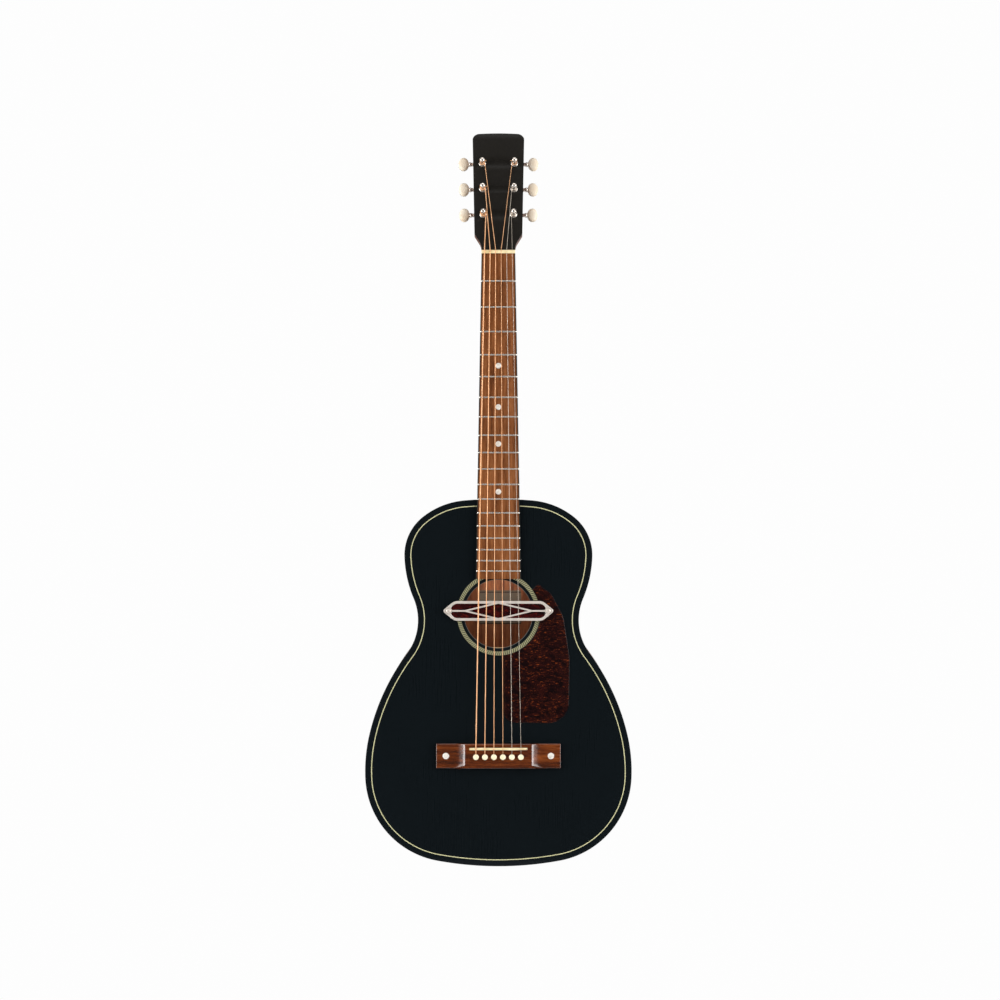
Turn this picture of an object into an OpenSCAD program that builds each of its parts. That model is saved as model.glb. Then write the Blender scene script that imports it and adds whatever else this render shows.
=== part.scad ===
// Parlour acoustic guitar with open-gear tuners and a sound-hole pickup, in millimetres.
// +Z runs up the neck, the soundboard faces -Y, and +X is the treble side.
// The origin is on the centreline, at the nut's fretboard edge, in the soundboard's outer plane.

/* [Strings and fretboard] */
// Scale length: twice the distance from the nut to the twelfth fret
scale_length = 609.6; // [606:0.1:612]
// Width of the nut, and of the fretboard beside it
nut_w = 42; // [41:0.5:43.5]
// Width of the fretboard at the twelfth fret
twelfth_w = 52.6; // [51.6:0.2:53.6]
// Number of frets
fret_count = 18; // [14:1:18]
// Thickness of the fretboard along its middle
board_t = 6; // [5.5:0.25:6.5]
// Radius of the fretboard's arched face
board_r = 305; // [254:1:406]
// Distance from the first string to the sixth at the nut
nut_spread = 34.4; // [33.6:0.1:35]
// Distance from the first string to the sixth at the saddle
saddle_spread = 55.8; // [54:0.2:57]
// Height of the strings over the twelfth fret
action = 2.2; // [1.8:0.1:2.8]

/* [Headstock and tuners] */
// Angle by which the headstock leans back
head_tilt = 14; // [12:0.5:15]
// Length of the headstock from the nut to its tip
head_len = 155; // [150:1:158]
// Width of the headstock at its tip
head_w = 64.8; // [63:0.2:67]
// Width of the headstock at the top of its flare
flare_w = 59.6; // [58:0.2:61]
// Thickness of the headstock's wood
head_t = 14; // [13:0.5:15]
// Distance between neighbouring posts along the headstock
post_pitch = 34; // [32:0.5:35]
// Distance from the nut to the first pair of posts
first_post = 46.5; // [45:0.5:48]
// Radius of a post where it runs in its bushing
post_r = 3; // [2.8:0.1:3.1]
// Teeth on each gear wheel, which are the button's turns for one turn of the post
gear_teeth = 14; // [13:1:14]

/* [Body] */
// Depth of the body at the neck
depth_neck = 86; // [82:1:90]
// Depth of the body at the tail
depth_tail = 100; // [96:1:104]
// Thickness of the soundboard
top_t = 2.8; // [2.6:0.1:3]
// Thickness of the back
back_t = 2.8; // [2.5:0.1:3.2]
// Thickness of the sides
side_t = 2.2; // [2:0.1:2.6]
// Radius of the sound hole
hole_r = 42.5; // [41:0.5:43]
// Distance of the purfling line from the top's edge
purfling_inset = 7.5; // [6.5:0.25:8]
// Width of the purfling line
purfling_w = 1.1; // [0.8:0.1:1.6]

/* [Bridge and pickup] */
// Width of the bridge
bridge_w = 154.4; // [150:0.2:158]
// Length of the bridge along the strings
bridge_l = 30.2; // [29.5:0.1:31]
// Thickness of the bridge's middle
bridge_t = 9; // [8.8:0.1:9.2]
// Length of the pickup across the sound hole
pickup_w = 136; // [134:1:140]

/* [Hidden] */
// Each arc of half the body's outline: radius and turn, from the neck round to the tail.
// The waist curves the other way, so both its values are negative. A ninth arc closes the tail.
side_arcs = [
    [522, 4.6], [96.2, 34], [60.4, 53.2], [145.5, 21.1],
    [-69.5, -59.5], [274, 23.3], [200, 15.9], [109, 77]
];
facet = 8;
lining_w = 6;
lining_h = 12;
inner_inset = side_t + lining_w + 0.4;
brace_h = 12;

body_top = -scale_length / 2;
hole_z = body_top - 142.8;
board_end = body_top - 99.2;
saddle_z = -scale_length - 5.1;
bridge_z = saddle_z - 9.1;
pin_z = bridge_z - 0.8;
pickup_z = hole_z + 3.9;
rosette_in = hole_r + 4.3;
rosette_out = hole_r + 9.1;
inlay_t = 1;
block_half = 30;
block_l = 35;
tail_block_half = 25;
tail_block_l = 18;
tenon_half = 12;
tenon_l = 22;
tenon_d = 70;
truss_y = 6.5;
truss_r = 2.5;
truss_half = 3.1;
truss_end = body_top - block_l - 3;
tang_d = 2;
jack_y = depth_tail / 2;
jack_r = 6;

nut_l = 4.4;
nut_h = 7.9;
crown_h = 1;
crown_w = 2;
string_gap = 0.5;
saddle_l = 2.9;
saddle_w = 72.7;
veneer_t = 2;
neck_d = 14.5;
arch_y = board_r - board_t;
gauges = [1.35, 1.07, 0.81, 0.61, 0.41, 0.3];

plate_t = 1.2;
gear_module = 0.6;
gear_t = 3.4;
gear_y = 4.3;
gear_bore = 1.6;
gear_r = gear_teeth * gear_module / 2;
worm_pitch = PI * gear_module;
worm_r = 2.4;
worm_z = gear_r + worm_r;
tooth_h = 0.55;
core_r = 1.65;
thread_turns = 3.5;
lug_x = 4.9;
lug_t = 1.3;
running_gap = 0.05;
button_x = 23.8;
button_size = [13.4, 7.6, 17.6];
bushing_t = 1.2;
face_h = head_t + veneer_t;
post_top = face_h + bushing_t + 13.8;
coil_h = face_h + 3;

pickup_half_h = 12.2;
shoulder_l = 17.5;
pickup_screw_x = pickup_w / 2 - 6;
guard_t = 0.8;
lead_r = 1.6;
pin_r = 2.5;
dot_x = 65.2;
dot_r = 4;

// ---- Shared shapes ----

// Outward direction of a curve whose heading has turned by h from +X
function normal(h) = [sin(h), cos(h)];

// Heading and position where side arc i starts
function arc_heading(i) = i == 0 ? 0 : arc_heading(i - 1) + side_arcs[i - 1][1];
function arc_start(i) = i == 0
    ? [0, body_top]
    : arc_start(i - 1) + side_arcs[i - 1][0] * (normal(arc_heading(i)) - normal(arc_heading(i - 1)));

last_arc = len(side_arcs);
tail_r = arc_start(last_arc)[0] / sin(arc_heading(last_arc));
all_arcs = concat(side_arcs, [[tail_r, 180 - arc_heading(last_arc)]]);
tail_z = arc_start(last_arc)[1] - tail_r * (1 + cos(arc_heading(last_arc)));
taper = atan((depth_tail - depth_neck) / (body_top - tail_z));

// Points along arc i, moved inwards by the inset
function arc_points(i, inset) = let(
    r = all_arcs[i][0],
    turn = all_arcs[i][1],
    start = arc_heading(i),
    centre = arc_start(i) - r * normal(start),
    steps = ceil(abs(r * turn) * PI / 180 / facet)
) [for (s = [0:steps - 1]) centre + (r - inset) * normal(start + turn * s / steps)];

// Outline of the body seen from the front, moved inwards by the inset
module body_outline(inset = 0) {
    half = [for (i = [0:last_arc], p = arc_points(i, inset)) p];
    tail = [[0, tail_z + inset]];
    other = [for (i = [len(half) - 1:-1:1]) [-half[i][0], half[i][1]]];
    polygon(concat(half, tail, other));
}

// Extrudes a shape drawn in X and Z from y0 back to y1
module slab(y0, y1) {
    translate([0, y1, 0])
        rotate([90, 0, 0])
            linear_extrude(y1 - y0)
                children();
}

// A cylinder along Y
module rod_y(r, y0, y1, fn = 48) {
    slab(y0, y1) circle(r = r, $fn = fn);
}

// Everything behind a plane parallel to the back's outer face, moved forwards by the inset
module behind_back(inset = 0) {
    translate([0, depth_neck, body_top])
        rotate([taper, 0, 0])
            translate([-200, -inset, -500])
                cube([400, 60, 540]);
}

// The space inside the body's outline, moved inwards, from the top's inner face to the back
module body_space(inset, y0 = top_t, back = back_t) {
    difference() {
        slab(y0, depth_tail + 8) body_outline(inset);
        behind_back(back);
    }
}

// Everything within half a width of the centreline, between two heights
module centre_strip(half, z0, z1, y0 = -20, y1 = 130) {
    translate([-half, y0, z0]) cube([2 * half, y1 - y0, z1 - z0]);
}

// The cylinder that the fretboard, frets, nut and saddle share, grown by the height h over the board
module arch(h, z0, z1) {
    translate([0, arch_y, z0]) cylinder(r = board_r + h, h = z1 - z0, $fn = 360);
}

function arch_drop(x) = board_r - sqrt(board_r * board_r - x * x);
function fret_z(n) = -scale_length * (1 - pow(2, -n / 12));
function board_w(z) = nut_w + (twelfth_w - nut_w) * z / body_top;

// Points of a smooth route through the given points
function between(a, b, c, d, t) = 0.5 * (
    2 * b + (c - a) * t + (2 * a - 5 * b + 4 * c - d) * t * t + (3 * b - a - 3 * c + d) * t * t * t
);
function smooth_route(p, steps) = let(n = len(p)) [
    for (i = [0:n - 2], s = [0:i == n - 2 ? steps : steps - 1])
        between(p[max(i - 1, 0)], p[i], p[i + 1], p[min(i + 2, n - 1)], s / steps)
];

function unit(v) = v / norm(v);

// A round tube along a route that never runs along the given side direction
module tube(route, r, across = [1, 0, 0], sides = 8) {
    n = len(route);
    rings = [for (i = [0:n - 1]) let(
        along = unit(route[min(i + 1, n - 1)] - route[max(i - 1, 0)]),
        u = unit(cross(along, across)),
        v = cross(along, u)
    ) for (s = [0:sides - 1]) route[i] + r * (cos(360 * s / sides) * u + sin(360 * s / sides) * v)];
    walls = [for (i = [0:n - 2], s = [0:sides - 1]) let(
        a = i * sides + s,
        b = i * sides + (s + 1) % sides
    ) [a + sides, b + sides, b, a]];
    first = [for (s = [0:sides - 1]) s];
    last = [for (s = [sides - 1:-1:0]) (n - 1) * sides + s];
    polyhedron(points = rings, faces = concat(walls, [first, last]), convexity = 4);
}

// ---- Body ----

module top() {
    color("#101416")
        difference() {
            slab(0, top_t) body_outline();
            translate([0, 0, hole_z]) rod_y(hole_r, -1, top_t + 1, 180);
            rosette_ring(-1, inlay_t);
            purfling_line(-1, inlay_t);
            pin_holes();
            bolt_holes();
            pickup_holes();
        }
}

module rosette_ring(y0, y1) {
    translate([0, 0, hole_z])
        difference() {
            rod_y(rosette_out, y0, y1, 180);
            rod_y(rosette_in, y0 - 1, y1 + 1, 180);
        }
}

module rosette() {
    color("#b2ae82") rosette_ring(0, inlay_t);
}

module purfling_line(y0, y1) {
    slab(y0, y1)
        difference() {
            body_outline(purfling_inset);
            body_outline(purfling_inset + purfling_w);
        }
}

module top_purfling() {
    color("#b2ae82") purfling_line(0, inlay_t);
}

module back() {
    color("#5a3320")
        difference() {
            slab(depth_neck - 20, depth_tail + 8) body_outline();
            difference() {
                slab(depth_neck - 30, depth_tail + 9) body_outline(-5);
                behind_back(back_t);
            }
            behind_back();
        }
}

// The sides' ring, cut for the neck's tenon and the jack
module side_ring() {
    difference() {
        body_space(0);
        slab(0, depth_tail + 20) body_outline(side_t);
        centre_strip(tenon_half, body_top - 20, body_top + 5, 0, tenon_d);
        jack_bore(jack_r);
    }
}

module side_bass() {
    color("#5a3320")
        difference() {
            side_ring();
            translate([0, -20, tail_z - 50]) cube([250, 160, 560]);
        }
}

module side_treble() {
    color("#5a3320")
        difference() {
            side_ring();
            translate([-250, -20, tail_z - 50]) cube([250, 160, 560]);
        }
}

// A strip round the inside of the sides, cut away at both blocks
module lining_ring(y0, back) {
    difference() {
        body_space(side_t, y0, back);
        slab(0, depth_tail + 20) body_outline(side_t + lining_w);
        centre_strip(block_half, body_top - 60, body_top + 5);
        centre_strip(tail_block_half, tail_z - 5, tail_z + 60);
    }
}

module linings() {
    color("#c8a878") {
        difference() {
            lining_ring(top_t, back_t);
            translate([-200, top_t + lining_h, tail_z - 20]) cube([400, 150, 540]);
        }
        difference() {
            lining_ring(depth_neck - 30, back_t);
            difference() {
                translate([-200, depth_neck - 35, tail_z - 20]) cube([400, 70, 540]);
                behind_back(back_t + lining_h);
            }
        }
    }
}

module neck_block() {
    color("#b98a55")
        difference() {
            intersection() {
                body_space(side_t);
                centre_strip(block_half, body_top - block_l, body_top);
            }
            centre_strip(tenon_half, body_top - tenon_l, body_top + 5, 0, tenon_d);
            centre_strip(truss_half, body_top - 60, body_top + 5, 0, truss_y + 3.4);
        }
}

module end_block() {
    color("#b98a55")
        difference() {
            intersection() {
                body_space(side_t);
                centre_strip(tail_block_half, tail_z, tail_z + side_t + tail_block_l);
            }
            jack_bore(jack_r);
        }
}

// A straight bar in the top's plane: centre, length, width and slope
module bar(x, z, length, width, slope) {
    translate([x, z]) rotate(slope) square([length, width], center = true);
}

// A brace glued under the top, clipped inside the linings
module top_brace(x, z, length, width, slope, h = brace_h) {
    slab(top_t, top_t + h)
        intersection() {
            body_outline(inner_inset);
            bar(x, z, length, width, slope);
        }
}

module top_braces() {
    cross_z = hole_z - 70.4;
    lap = 6;
    lap_y = top_t + brace_h / 2;
    color("#d9b98a") {
        difference() {
            top_brace(0, cross_z, 440, 8, 43);
            translate([-lap, lap_y, cross_z - lap]) cube(2 * lap);
        }
        difference() {
            top_brace(0, cross_z, 440, 8, -43);
            translate([-lap, lap_y + 0.05 - 2 * lap, cross_z - lap]) cube(2 * lap);
        }
        difference() {
            top_brace(0, hole_z + 68, 300, 12, 0);
            translate([0, truss_y, hole_z + 50]) cylinder(r = 4.5, h = 40, $fn = 48);
        }
        top_brace(-8, tail_z + 92, 150, 7, 14, 9);
        top_brace(8, tail_z + 58, 130, 7, 14, 9);
        difference() {
            slab(top_t, top_t + 2.5) bar(0, bridge_z - 1, 112, 34, 0);
            pin_holes();
        }
    }
}

module back_braces() {
    color("#d9b98a")
        for (z = [hole_z + 76, hole_z - 52, hole_z - 132, hole_z - 220])
            difference() {
                intersection() {
                    body_space(inner_inset, depth_neck - 30);
                    behind_back(back_t + brace_h);
                    centre_strip(200, z - 5, z + 5);
                }
                behind_back(back_t);
            }
}

module label() {
    color("#8d8272")
        difference() {
            translate([-24.3, depth_neck - 10, hole_z - 17]) cube([53.3, 30, 43]);
            behind_back(back_t);
            difference() {
                translate([-30, depth_neck - 20, hole_z - 20]) cube([70, 50, 60]);
                behind_back(back_t + 0.25);
            }
        }
}

// Outline of the pickguard: round corners joined by straight edges, cut clear of the rosette
module pickguard() {
    corners = [[49.5, 32, 4], [57, 17.5, 11], [48, -14.5, 34], [48.3, -57.5, 40],
        [61.5, -109.8, 26], [22, -118, 17], [9, -22, 4]];
    color("#2a0d0a")
        difference() {
            slab(-guard_t, 0)
                difference() {
                    hull()
                        for (c = corners)
                            translate([c[0], hole_z + c[1]]) circle(r = c[2], $fn = 48);
                    translate([0, hole_z]) circle(r = rosette_out + 0.6, $fn = 180);
                }
            pickup_holes();
        }
}

// ---- Neck ----

module head_frame() {
    translate([0, 0, nut_l]) rotate([-head_tilt, 0, 0]) children();
}

// Front view of the headstock in its own plane: straight sides, a slightly domed tip and a scooped flare
module head_shape() {
    corner_r = 8;
    flare_z = 21;
    scoop_r = 20;
    dome_r = 400;
    intersection() {
        translate([0, head_len - dome_r]) circle(r = dome_r, $fn = 360);
        hull()
            for (s = [-1, 1]) {
                translate([s * (head_w / 2 - corner_r), head_len - corner_r])
                    circle(r = corner_r, $fn = 48);
                translate([s * (flare_w / 2 - 1), flare_z]) circle(r = 1, $fn = 24);
            }
    }
    difference() {
        translate([-flare_w / 2, 0]) square([flare_w, flare_z]);
        for (s = [-1, 1])
            hull() {
                translate([s * (nut_w / 2 + scoop_r), 1]) circle(r = scoop_r, $fn = 96);
                translate([s * (flare_w / 2 + 0.1), flare_z]) circle(r = 0.1, $fn = 12);
            }
    }
}

// A thin layer of the heel, round towards the nut: depth behind the board, width and length
module heel_layer(y, width, length) {
    translate([0, 0, body_top - 6])
        slab(y, y + 0.5) {
            translate([0, length + 6 - width / 2]) circle(r = width / 2, $fn = 48);
            translate([-width / 2, 0]) square([width, length + 6 - width / 2]);
        }
}

// One end of the neck's shaft: half an ellipse
module shaft_end(z, half_w, depth) {
    translate([0, 0, z])
        linear_extrude(0.5)
            intersection() {
                scale([half_w, depth]) circle(r = 1, $fn = 64);
                translate([-half_w, 0]) square([2 * half_w, depth]);
            }
}

module neck() {
    heel = [[0, 52.4, 60], [16, 50, 48], [30, 42, 36], [52, 34, 25], [depth_neck - 4, 28, 19]];
    color("#6b3d24")
        difference() {
            union() {
                difference() {
                    union() {
                        hull() {
                            shaft_end(body_top - 6, board_w(body_top) / 2, neck_d + 2.5);
                            shaft_end(nut_l + 4, nut_w / 2, neck_d);
                        }
                        for (i = [0:3])
                            hull() {
                                heel_layer(heel[i][0], heel[i][1], heel[i][2]);
                                heel_layer(heel[i + 1][0], heel[i + 1][1], heel[i + 1][2]);
                            }
                    }
                    slab(-1, depth_tail) body_outline();
                    head_frame() translate([-40, -20, 0]) cube([80, 20, 20]);
                }
                centre_strip(tenon_half, body_top - tenon_l, body_top + 0.5, top_t, tenon_d);
                head_frame() slab(0, head_t) head_shape();
            }
            centre_strip(truss_half, body_top - tenon_l - 1, -8, -1, truss_y + 3.4);
            for (k = [1:6])
                tuner_frame(k) {
                    rod_y(post_r + 0.3, -face_h, 1);
                    rod_y(4 + running_gap, -face_h, -head_t + 8);
                    screw_places() rod_y(1.2, -8, 1, 24);
                }
        }
}

module headstock_face() {
    color("#26231f")
        difference() {
            head_frame() slab(-veneer_t, 0) head_shape();
            centre_strip(40, -10, nut_l);
            for (k = [1:6]) tuner_frame(k) rod_y(4 + running_gap, -face_h - 1, 1);
        }
}

module truss_rod() {
    color("silver") {
        centre_strip(truss_half - 0.1, truss_end, -10, truss_y - 3.5, truss_y + 3.2);
        translate([0, truss_y, truss_end - 14]) cylinder(r = truss_r, h = 15, $fn = 48);
    }
}

module truss_nut() {
    nut_r = 3.5;
    color("gold")
        translate([0, truss_y, truss_end - 21])
            difference() {
                cylinder(r = nut_r, h = 19, $fn = 48);
                translate([0, 0, 6]) cylinder(r = truss_r + running_gap, h = 14, $fn = 48);
                translate([0, 0, -1]) cylinder(r = 2.3, h = 6, $fn = 6);
            }
}

// The fretboard's plan: straight edges that spread from the nut to its end
module board_plan(grow = 0) {
    near = nut_w / 2 + grow;
    far = board_w(board_end) / 2 + grow;
    polygon([[-near, 0], [near, 0], [far, board_end], [-far, board_end]]);
}

module fretboard() {
    color("#6e4428")
        difference() {
            intersection() {
                slab(-board_t - 1, 0) board_plan();
                arch(0, board_end - 1, 1);
            }
            for (n = [1:fret_count]) fret_slot(n);
            board_dots(-board_t - 2);
        }
}

module frets() {
    color("#d8d4cc")
        for (n = [1:fret_count])
            intersection() {
                slab(-board_t - 2, 0) board_plan(0.1);
                arch(crown_h, fret_z(n) - 5, fret_z(n) + 5);
                union() {
                    difference() {
                        translate([-40, -20, fret_z(n) - crown_w / 2]) cube([80, 30, crown_w]);
                        arch(0, fret_z(n) - 6, fret_z(n) + 6);
                    }
                    fret_slot(n);
                }
            }
}

// The saw cut for a fret's tang
module fret_slot(n) {
    translate([-40, -20, fret_z(n) - 0.3]) cube([80, 20 - board_t + tang_d, 0.6]);
}

// Bores for the position dots, halfway between their frets
module board_dots(y0) {
    for (n = [5, 7, 9, 12])
        translate([0, 0, (fret_z(n) + fret_z(n - 1)) / 2]) rod_y(3.5, y0, 1.5 - board_t);
}

module bridge_dots(y0) {
    for (s = [-1, 1])
        translate([s * dot_x, 0, bridge_z]) rod_y(dot_r, y0, -3.3);
}

module pearl_dots() {
    color("#e8e4dc") {
        intersection() {
            board_dots(-board_t - 2);
            arch(0, board_end, 0);
        }
        bridge_dots(-4.5);
    }
}

module nut() {
    color("#e9d9ae")
        difference() {
            intersection() {
                centre_strip(nut_w / 2, 0, nut_l, -board_t - 4, 0);
                arch(nut_h - board_t, -1, nut_l + 1);
            }
            for (k = [1:6]) nut_slot(k);
        }
}

// The slot in the nut for string k
module nut_slot(k) {
    slot_r = gauges[k - 1] / 2 + 0.05;
    hull()
        for (y = [nut_y(k), -board_t - 6])
            translate([nut_x(k), y, -1]) cylinder(r = slot_r, h = nut_l + 2, $fn = 16);
}

// ---- Bridge and strings ----

// Where string k crosses the nut and the saddle: string 1 is the thickest, on the bass side
function nut_x(k) = nut_spread * (k - 3.5) / 5;
function saddle_x(k) = saddle_spread * (k - 3.5) / 5;
function fret_top(x) = -board_t - crown_h + arch_drop(x);
function nut_y(k) = fret_top(nut_x(k)) - string_gap - gauges[k - 1] / 2;
function saddle_y(k) = fret_top(saddle_x(k)) - 2 * action + string_gap - gauges[k - 1] / 2;

module pin_holes() {
    for (k = [1:6])
        translate([saddle_x(k), 0, pin_z]) rod_y(pin_r + 0.1, -bridge_t - 5, 20);
}

// Holes for the bridge's bolts, wider where their heads sit under the dots
module bolt_holes() {
    for (s = [-1, 1])
        translate([s * dot_x, 0, bridge_z]) {
            rod_y(2, -bridge_t, 20);
            rod_y(3.85, -bridge_t, -1.5);
        }
}

module bridge() {
    scoop_r = 22;
    wing_t = 4.5;
    scoop_x = 54.8;
    color("#6e4428")
        difference() {
            slab(-bridge_t, 0) bar(0, bridge_z, bridge_w, bridge_l, 0);
            for (s = [-1, 1]) {
                translate([s * scoop_x, -wing_t - scoop_r, bridge_z - 20])
                    cylinder(r = scoop_r, h = 40, $fn = 180);
                translate([s * (scoop_x + 20) - 20, -wing_t - 20, bridge_z - 20]) cube([40, 20, 40]);
            }
            slab(-bridge_t - 1, -bridge_t + 5) bar(0, saddle_z, saddle_w, saddle_l, 0);
            pin_holes();
            bridge_dots(-bridge_t);
            bolt_holes();
            for (k = [1:6])
                translate([saddle_x(k) - 0.8, -bridge_t - 1, pin_z + 1]) cube([1.6, 3, 3.6]);
        }
}

module saddle() {
    color("#e9d9ae")
        intersection() {
            slab(-bridge_t - 4, -bridge_t + 5) bar(0, saddle_z, saddle_w, saddle_l, 0);
            arch(crown_h + 2 * action - string_gap, saddle_z - 5, saddle_z + 5);
        }
}

module bridge_pins() {
    head_r = 3.6;
    head_y = -bridge_t - 1.6;
    color("#efe2bd")
        for (k = [1:6])
            translate([saddle_x(k), 0, pin_z])
                difference() {
                    union() {
                        translate([0, 10, 0])
                            rotate([90, 0, 0])
                                cylinder(r1 = pin_r - 0.4, r2 = pin_r, h = 10 - head_y, $fn = 48);
                        intersection() {
                            rod_y(head_r, head_y - 2.8, head_y);
                            translate([0, head_y + 1.6, 0]) sphere(r = 4.4, $fn = 72);
                        }
                    }
                    translate([-0.8, head_y, 0.9]) cube([1.6, 20 - head_y, 4]);
                }
}

module bridge_bolts() {
    color("silver")
        for (s = [-1, 1])
            translate([s * dot_x, 0, bridge_z])
                difference() {
                    union() {
                        rod_y(3.8, -3.3, -1.5);
                        rod_y(1.95, -2, 9);
                        rod_y(5, top_t, top_t + 1);
                        rod_y(3.6, top_t + 1, top_t + 4, 6);
                    }
                    translate([-4, -3.4, -0.5]) cube([8, 0.8, 1]);
                }
}

// The route of string k, from its ball end under the bridge plate to its post
function post_at(k) = let(
    row = k < 4 ? k - 1 : 6 - k,
    side = k < 4 ? -1 : 1
) [side * (18.9 + 0.6 * row), first_post + post_pitch * row];
function head_point(x, y, z) = [
    x,
    y * cos(head_tilt) + z * sin(head_tilt),
    nut_l - y * sin(head_tilt) + z * cos(head_tilt)
];
function wrap_r(k) = post_r - 0.3 + gauges[k - 1] / 2;
function string_route(k) = let(
    x = saddle_x(k),
    post = post_at(k)
) [
    [x, 7.6, pin_z + 4.4],
    [x, 6.2, pin_z + 2.4],
    [x, 4, pin_z + 1.75],
    [x, -bridge_t + 2.2, pin_z + 1.75],
    [x, -bridge_t + 0.4, pin_z + 2.6],
    [x, saddle_y(k), saddle_z],
    [nut_x(k), nut_y(k), 0],
    [nut_x(k), nut_y(k), nut_l],
    head_point(post[0] - sign(post[0]) * wrap_r(k), head_t - coil_h - gauges[k - 1] / 2, post[1])
];

// A string with its ball end, and its turns round the post as a sleeve that clears the post
module string(k) {
    gauge = gauges[k - 1];
    turns = k < 4 ? 3 : 4;
    tube(string_route(k), gauge / 2);
    translate([saddle_x(k) - 1.8, 7.6, pin_z + 4.9])
        rotate([0, 90, 0])
            cylinder(r = 2, h = 3.6, $fn = 32);
    tuner_frame(k)
        difference() {
            rod_y(post_r - 0.2 + gauge, -coil_h - turns * gauge, -coil_h);
            rod_y(post_r - 0.35, -post_top, 0);
        }
}

module strings_wound() {
    color("#c88a5a") for (k = [1:4]) string(k);
}

module strings_plain() {
    color("#b9b4ab") for (k = [5:6]) string(k);
}

// ---- Pickup and output ----

// A bar whose round shoulders taper to small round tips
module tapered_bar(half_len, half_h, tip_r) {
    hull()
        for (s = [-1, 1]) {
            translate([s * (half_len - shoulder_l), 0]) circle(r = half_h, $fn = 96);
            translate([s * (half_len - tip_r), 0]) circle(r = tip_r, $fn = 48);
        }
}

module pickup_holes() {
    for (s = [-1, 1])
        translate([s * pickup_screw_x, 0, pickup_z]) rod_y(1.6, -6, 20);
}

// A straight strip with round ends between two points
module strip(a, b, width) {
    hull()
        for (end = [a, b])
            translate(end) circle(r = width / 2, $fn = 24);
}

// The lattice: a rim, a bar along the middle from each end, and a long rhombus between them
module pickup_frame() {
    front = -4.8;
    rear = -3;
    rim = 3.2;
    fork_x = 41.5;
    strut = 2;
    boss_r = 4.4;
    shoulder = pickup_w / 2 - shoulder_l;
    window_r = pickup_half_h - rim;
    color("#d6cbc0")
        translate([0, 0, pickup_z])
            difference() {
                union() {
                    difference() {
                        slab(front, rear) tapered_bar(pickup_w / 2, pickup_half_h, 3);
                        slab(front - 1, rear + 1) {
                            square([2 * shoulder, 2 * window_r], center = true);
                            for (s = [-1, 1]) translate([s * shoulder, 0]) circle(r = window_r, $fn = 96);
                        }
                    }
                    for (s = [-1, 1]) {
                        translate([s * pickup_screw_x, 0, 0]) rod_y(boss_r, front, rear);
                        slab(front, rear) strip([s * (pickup_screw_x - boss_r), 0], [s * fork_x, 0], strut);
                        for (t = [-1, 1])
                            slab(front, rear) strip([s * fork_x, 0], [0, t * (window_r + 1)], strut);
                    }
                }
                translate([0, 0, -pickup_z]) pickup_holes();
            }
}

module pickup_body() {
    color("#3a1010")
        translate([0, 0, pickup_z])
            difference() {
                union() {
                    slab(-3, -1.6) tapered_bar(pickup_w / 2 - 0.4, pickup_half_h - 0.4, 3);
                    slab(-1.6, 14) bar(0, 0, 72, 20, 0);
                    translate([-pickup_screw_x, 0, 0]) rod_y(4, -1.6, 0);
                    translate([pickup_screw_x, 0, 0]) rod_y(4, -1.6, -guard_t);
                }
                slab(-1, 12.6) bar(0, 0, 68, 16, 0);
                translate([0, 0, -pickup_z]) pickup_holes();
                translate([30, 9, 0]) rotate([0, 90, 0]) cylinder(r = lead_r + 0.1, h = 8, $fn = 32);
            }
}

// The coil wound round its bar magnet
module pickup_coil() {
    color("#8a4b2a")
        translate([0, 0, pickup_z]) {
            difference() {
                slab(0.5, 11) bar(0, 0, 60, 13, 0);
                slab(0, 12) bar(0, 0, 50, 4.2, 0);
            }
            slab(-0.8, 12.4) bar(0, 0, 49, 3.8, 0);
        }
}

// The end screws, each with a clamp bar that pulls up under the top
module pickup_screws() {
    color("#c9c2ba")
        translate([0, 0, pickup_z])
            for (s = [-1, 1])
                translate([s * pickup_screw_x, 0, 0])
                    difference() {
                        union() {
                            rod_y(1.5, -5, 9);
                            rod_y(3, -6.2, -4.8);
                            slab(top_t, top_t + 3) bar(0, 0, 9, 12, 0);
                        }
                        translate([-4, -6.3, -0.4]) cube([8, 0.7, 0.8]);
                    }
}

// The lead from the pickup, round the treble side, to the jack
lead_route = [
    [37, 9, pickup_z],
    [45, 11, pickup_z - 1],
    [56, 18, pickup_z - 6],
    [70, 26, pickup_z - 14],
    [82, 32, pickup_z - 28],
    [87, 36, pickup_z - 50],
    [98, 40, pickup_z - 80],
    [120, 43, pickup_z - 125],
    [133, 45, pickup_z - 165],
    [137, 47, pickup_z - 200],
    [126, 49, pickup_z - 235],
    [100, 50, tail_z + 54],
    [62, 50, tail_z + 43],
    [30, 50, tail_z + 43],
    [12, 50, tail_z + 43],
    [3, jack_y, tail_z + 40],
    [0, jack_y, tail_z + 33]
];

module pickup_lead() {
    color("#1c1c1c") tube(smooth_route(lead_route, 4), lead_r, [0, 1, 0]);
}

module jack_bore(r) {
    translate([0, jack_y, tail_z - 10]) cylinder(r = r, h = 45, $fn = 64);
}

module end_jack() {
    plug_r = 3.2;
    jack_l = 33;
    block_face = tail_z + side_t + tail_block_l;
    color("silver")
        difference() {
            union() {
                translate([0, jack_y, tail_z - 1]) cylinder(r = 10, h = 1, $fn = 64);
                translate([0, jack_y, tail_z - 1]) cylinder(r = jack_r, h = jack_l + 1, $fn = 64);
                translate([0, jack_y, block_face]) cylinder(r = 9, h = 3, $fn = 6);
            }
            translate([0, jack_y, tail_z - 2]) cylinder(r = plug_r, h = jack_l - 1, $fn = 64);
        }
}

// ---- Tuners ----

// Places children at post k, on the headstock's back face, with +Y pointing backwards
module tuner_frame(k) {
    head_frame() translate([post_at(k)[0], head_t, post_at(k)[1]]) children();
}

module screw_places() {
    for (z = [-10, worm_z + 7]) translate([0, 0, z]) children();
}

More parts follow.
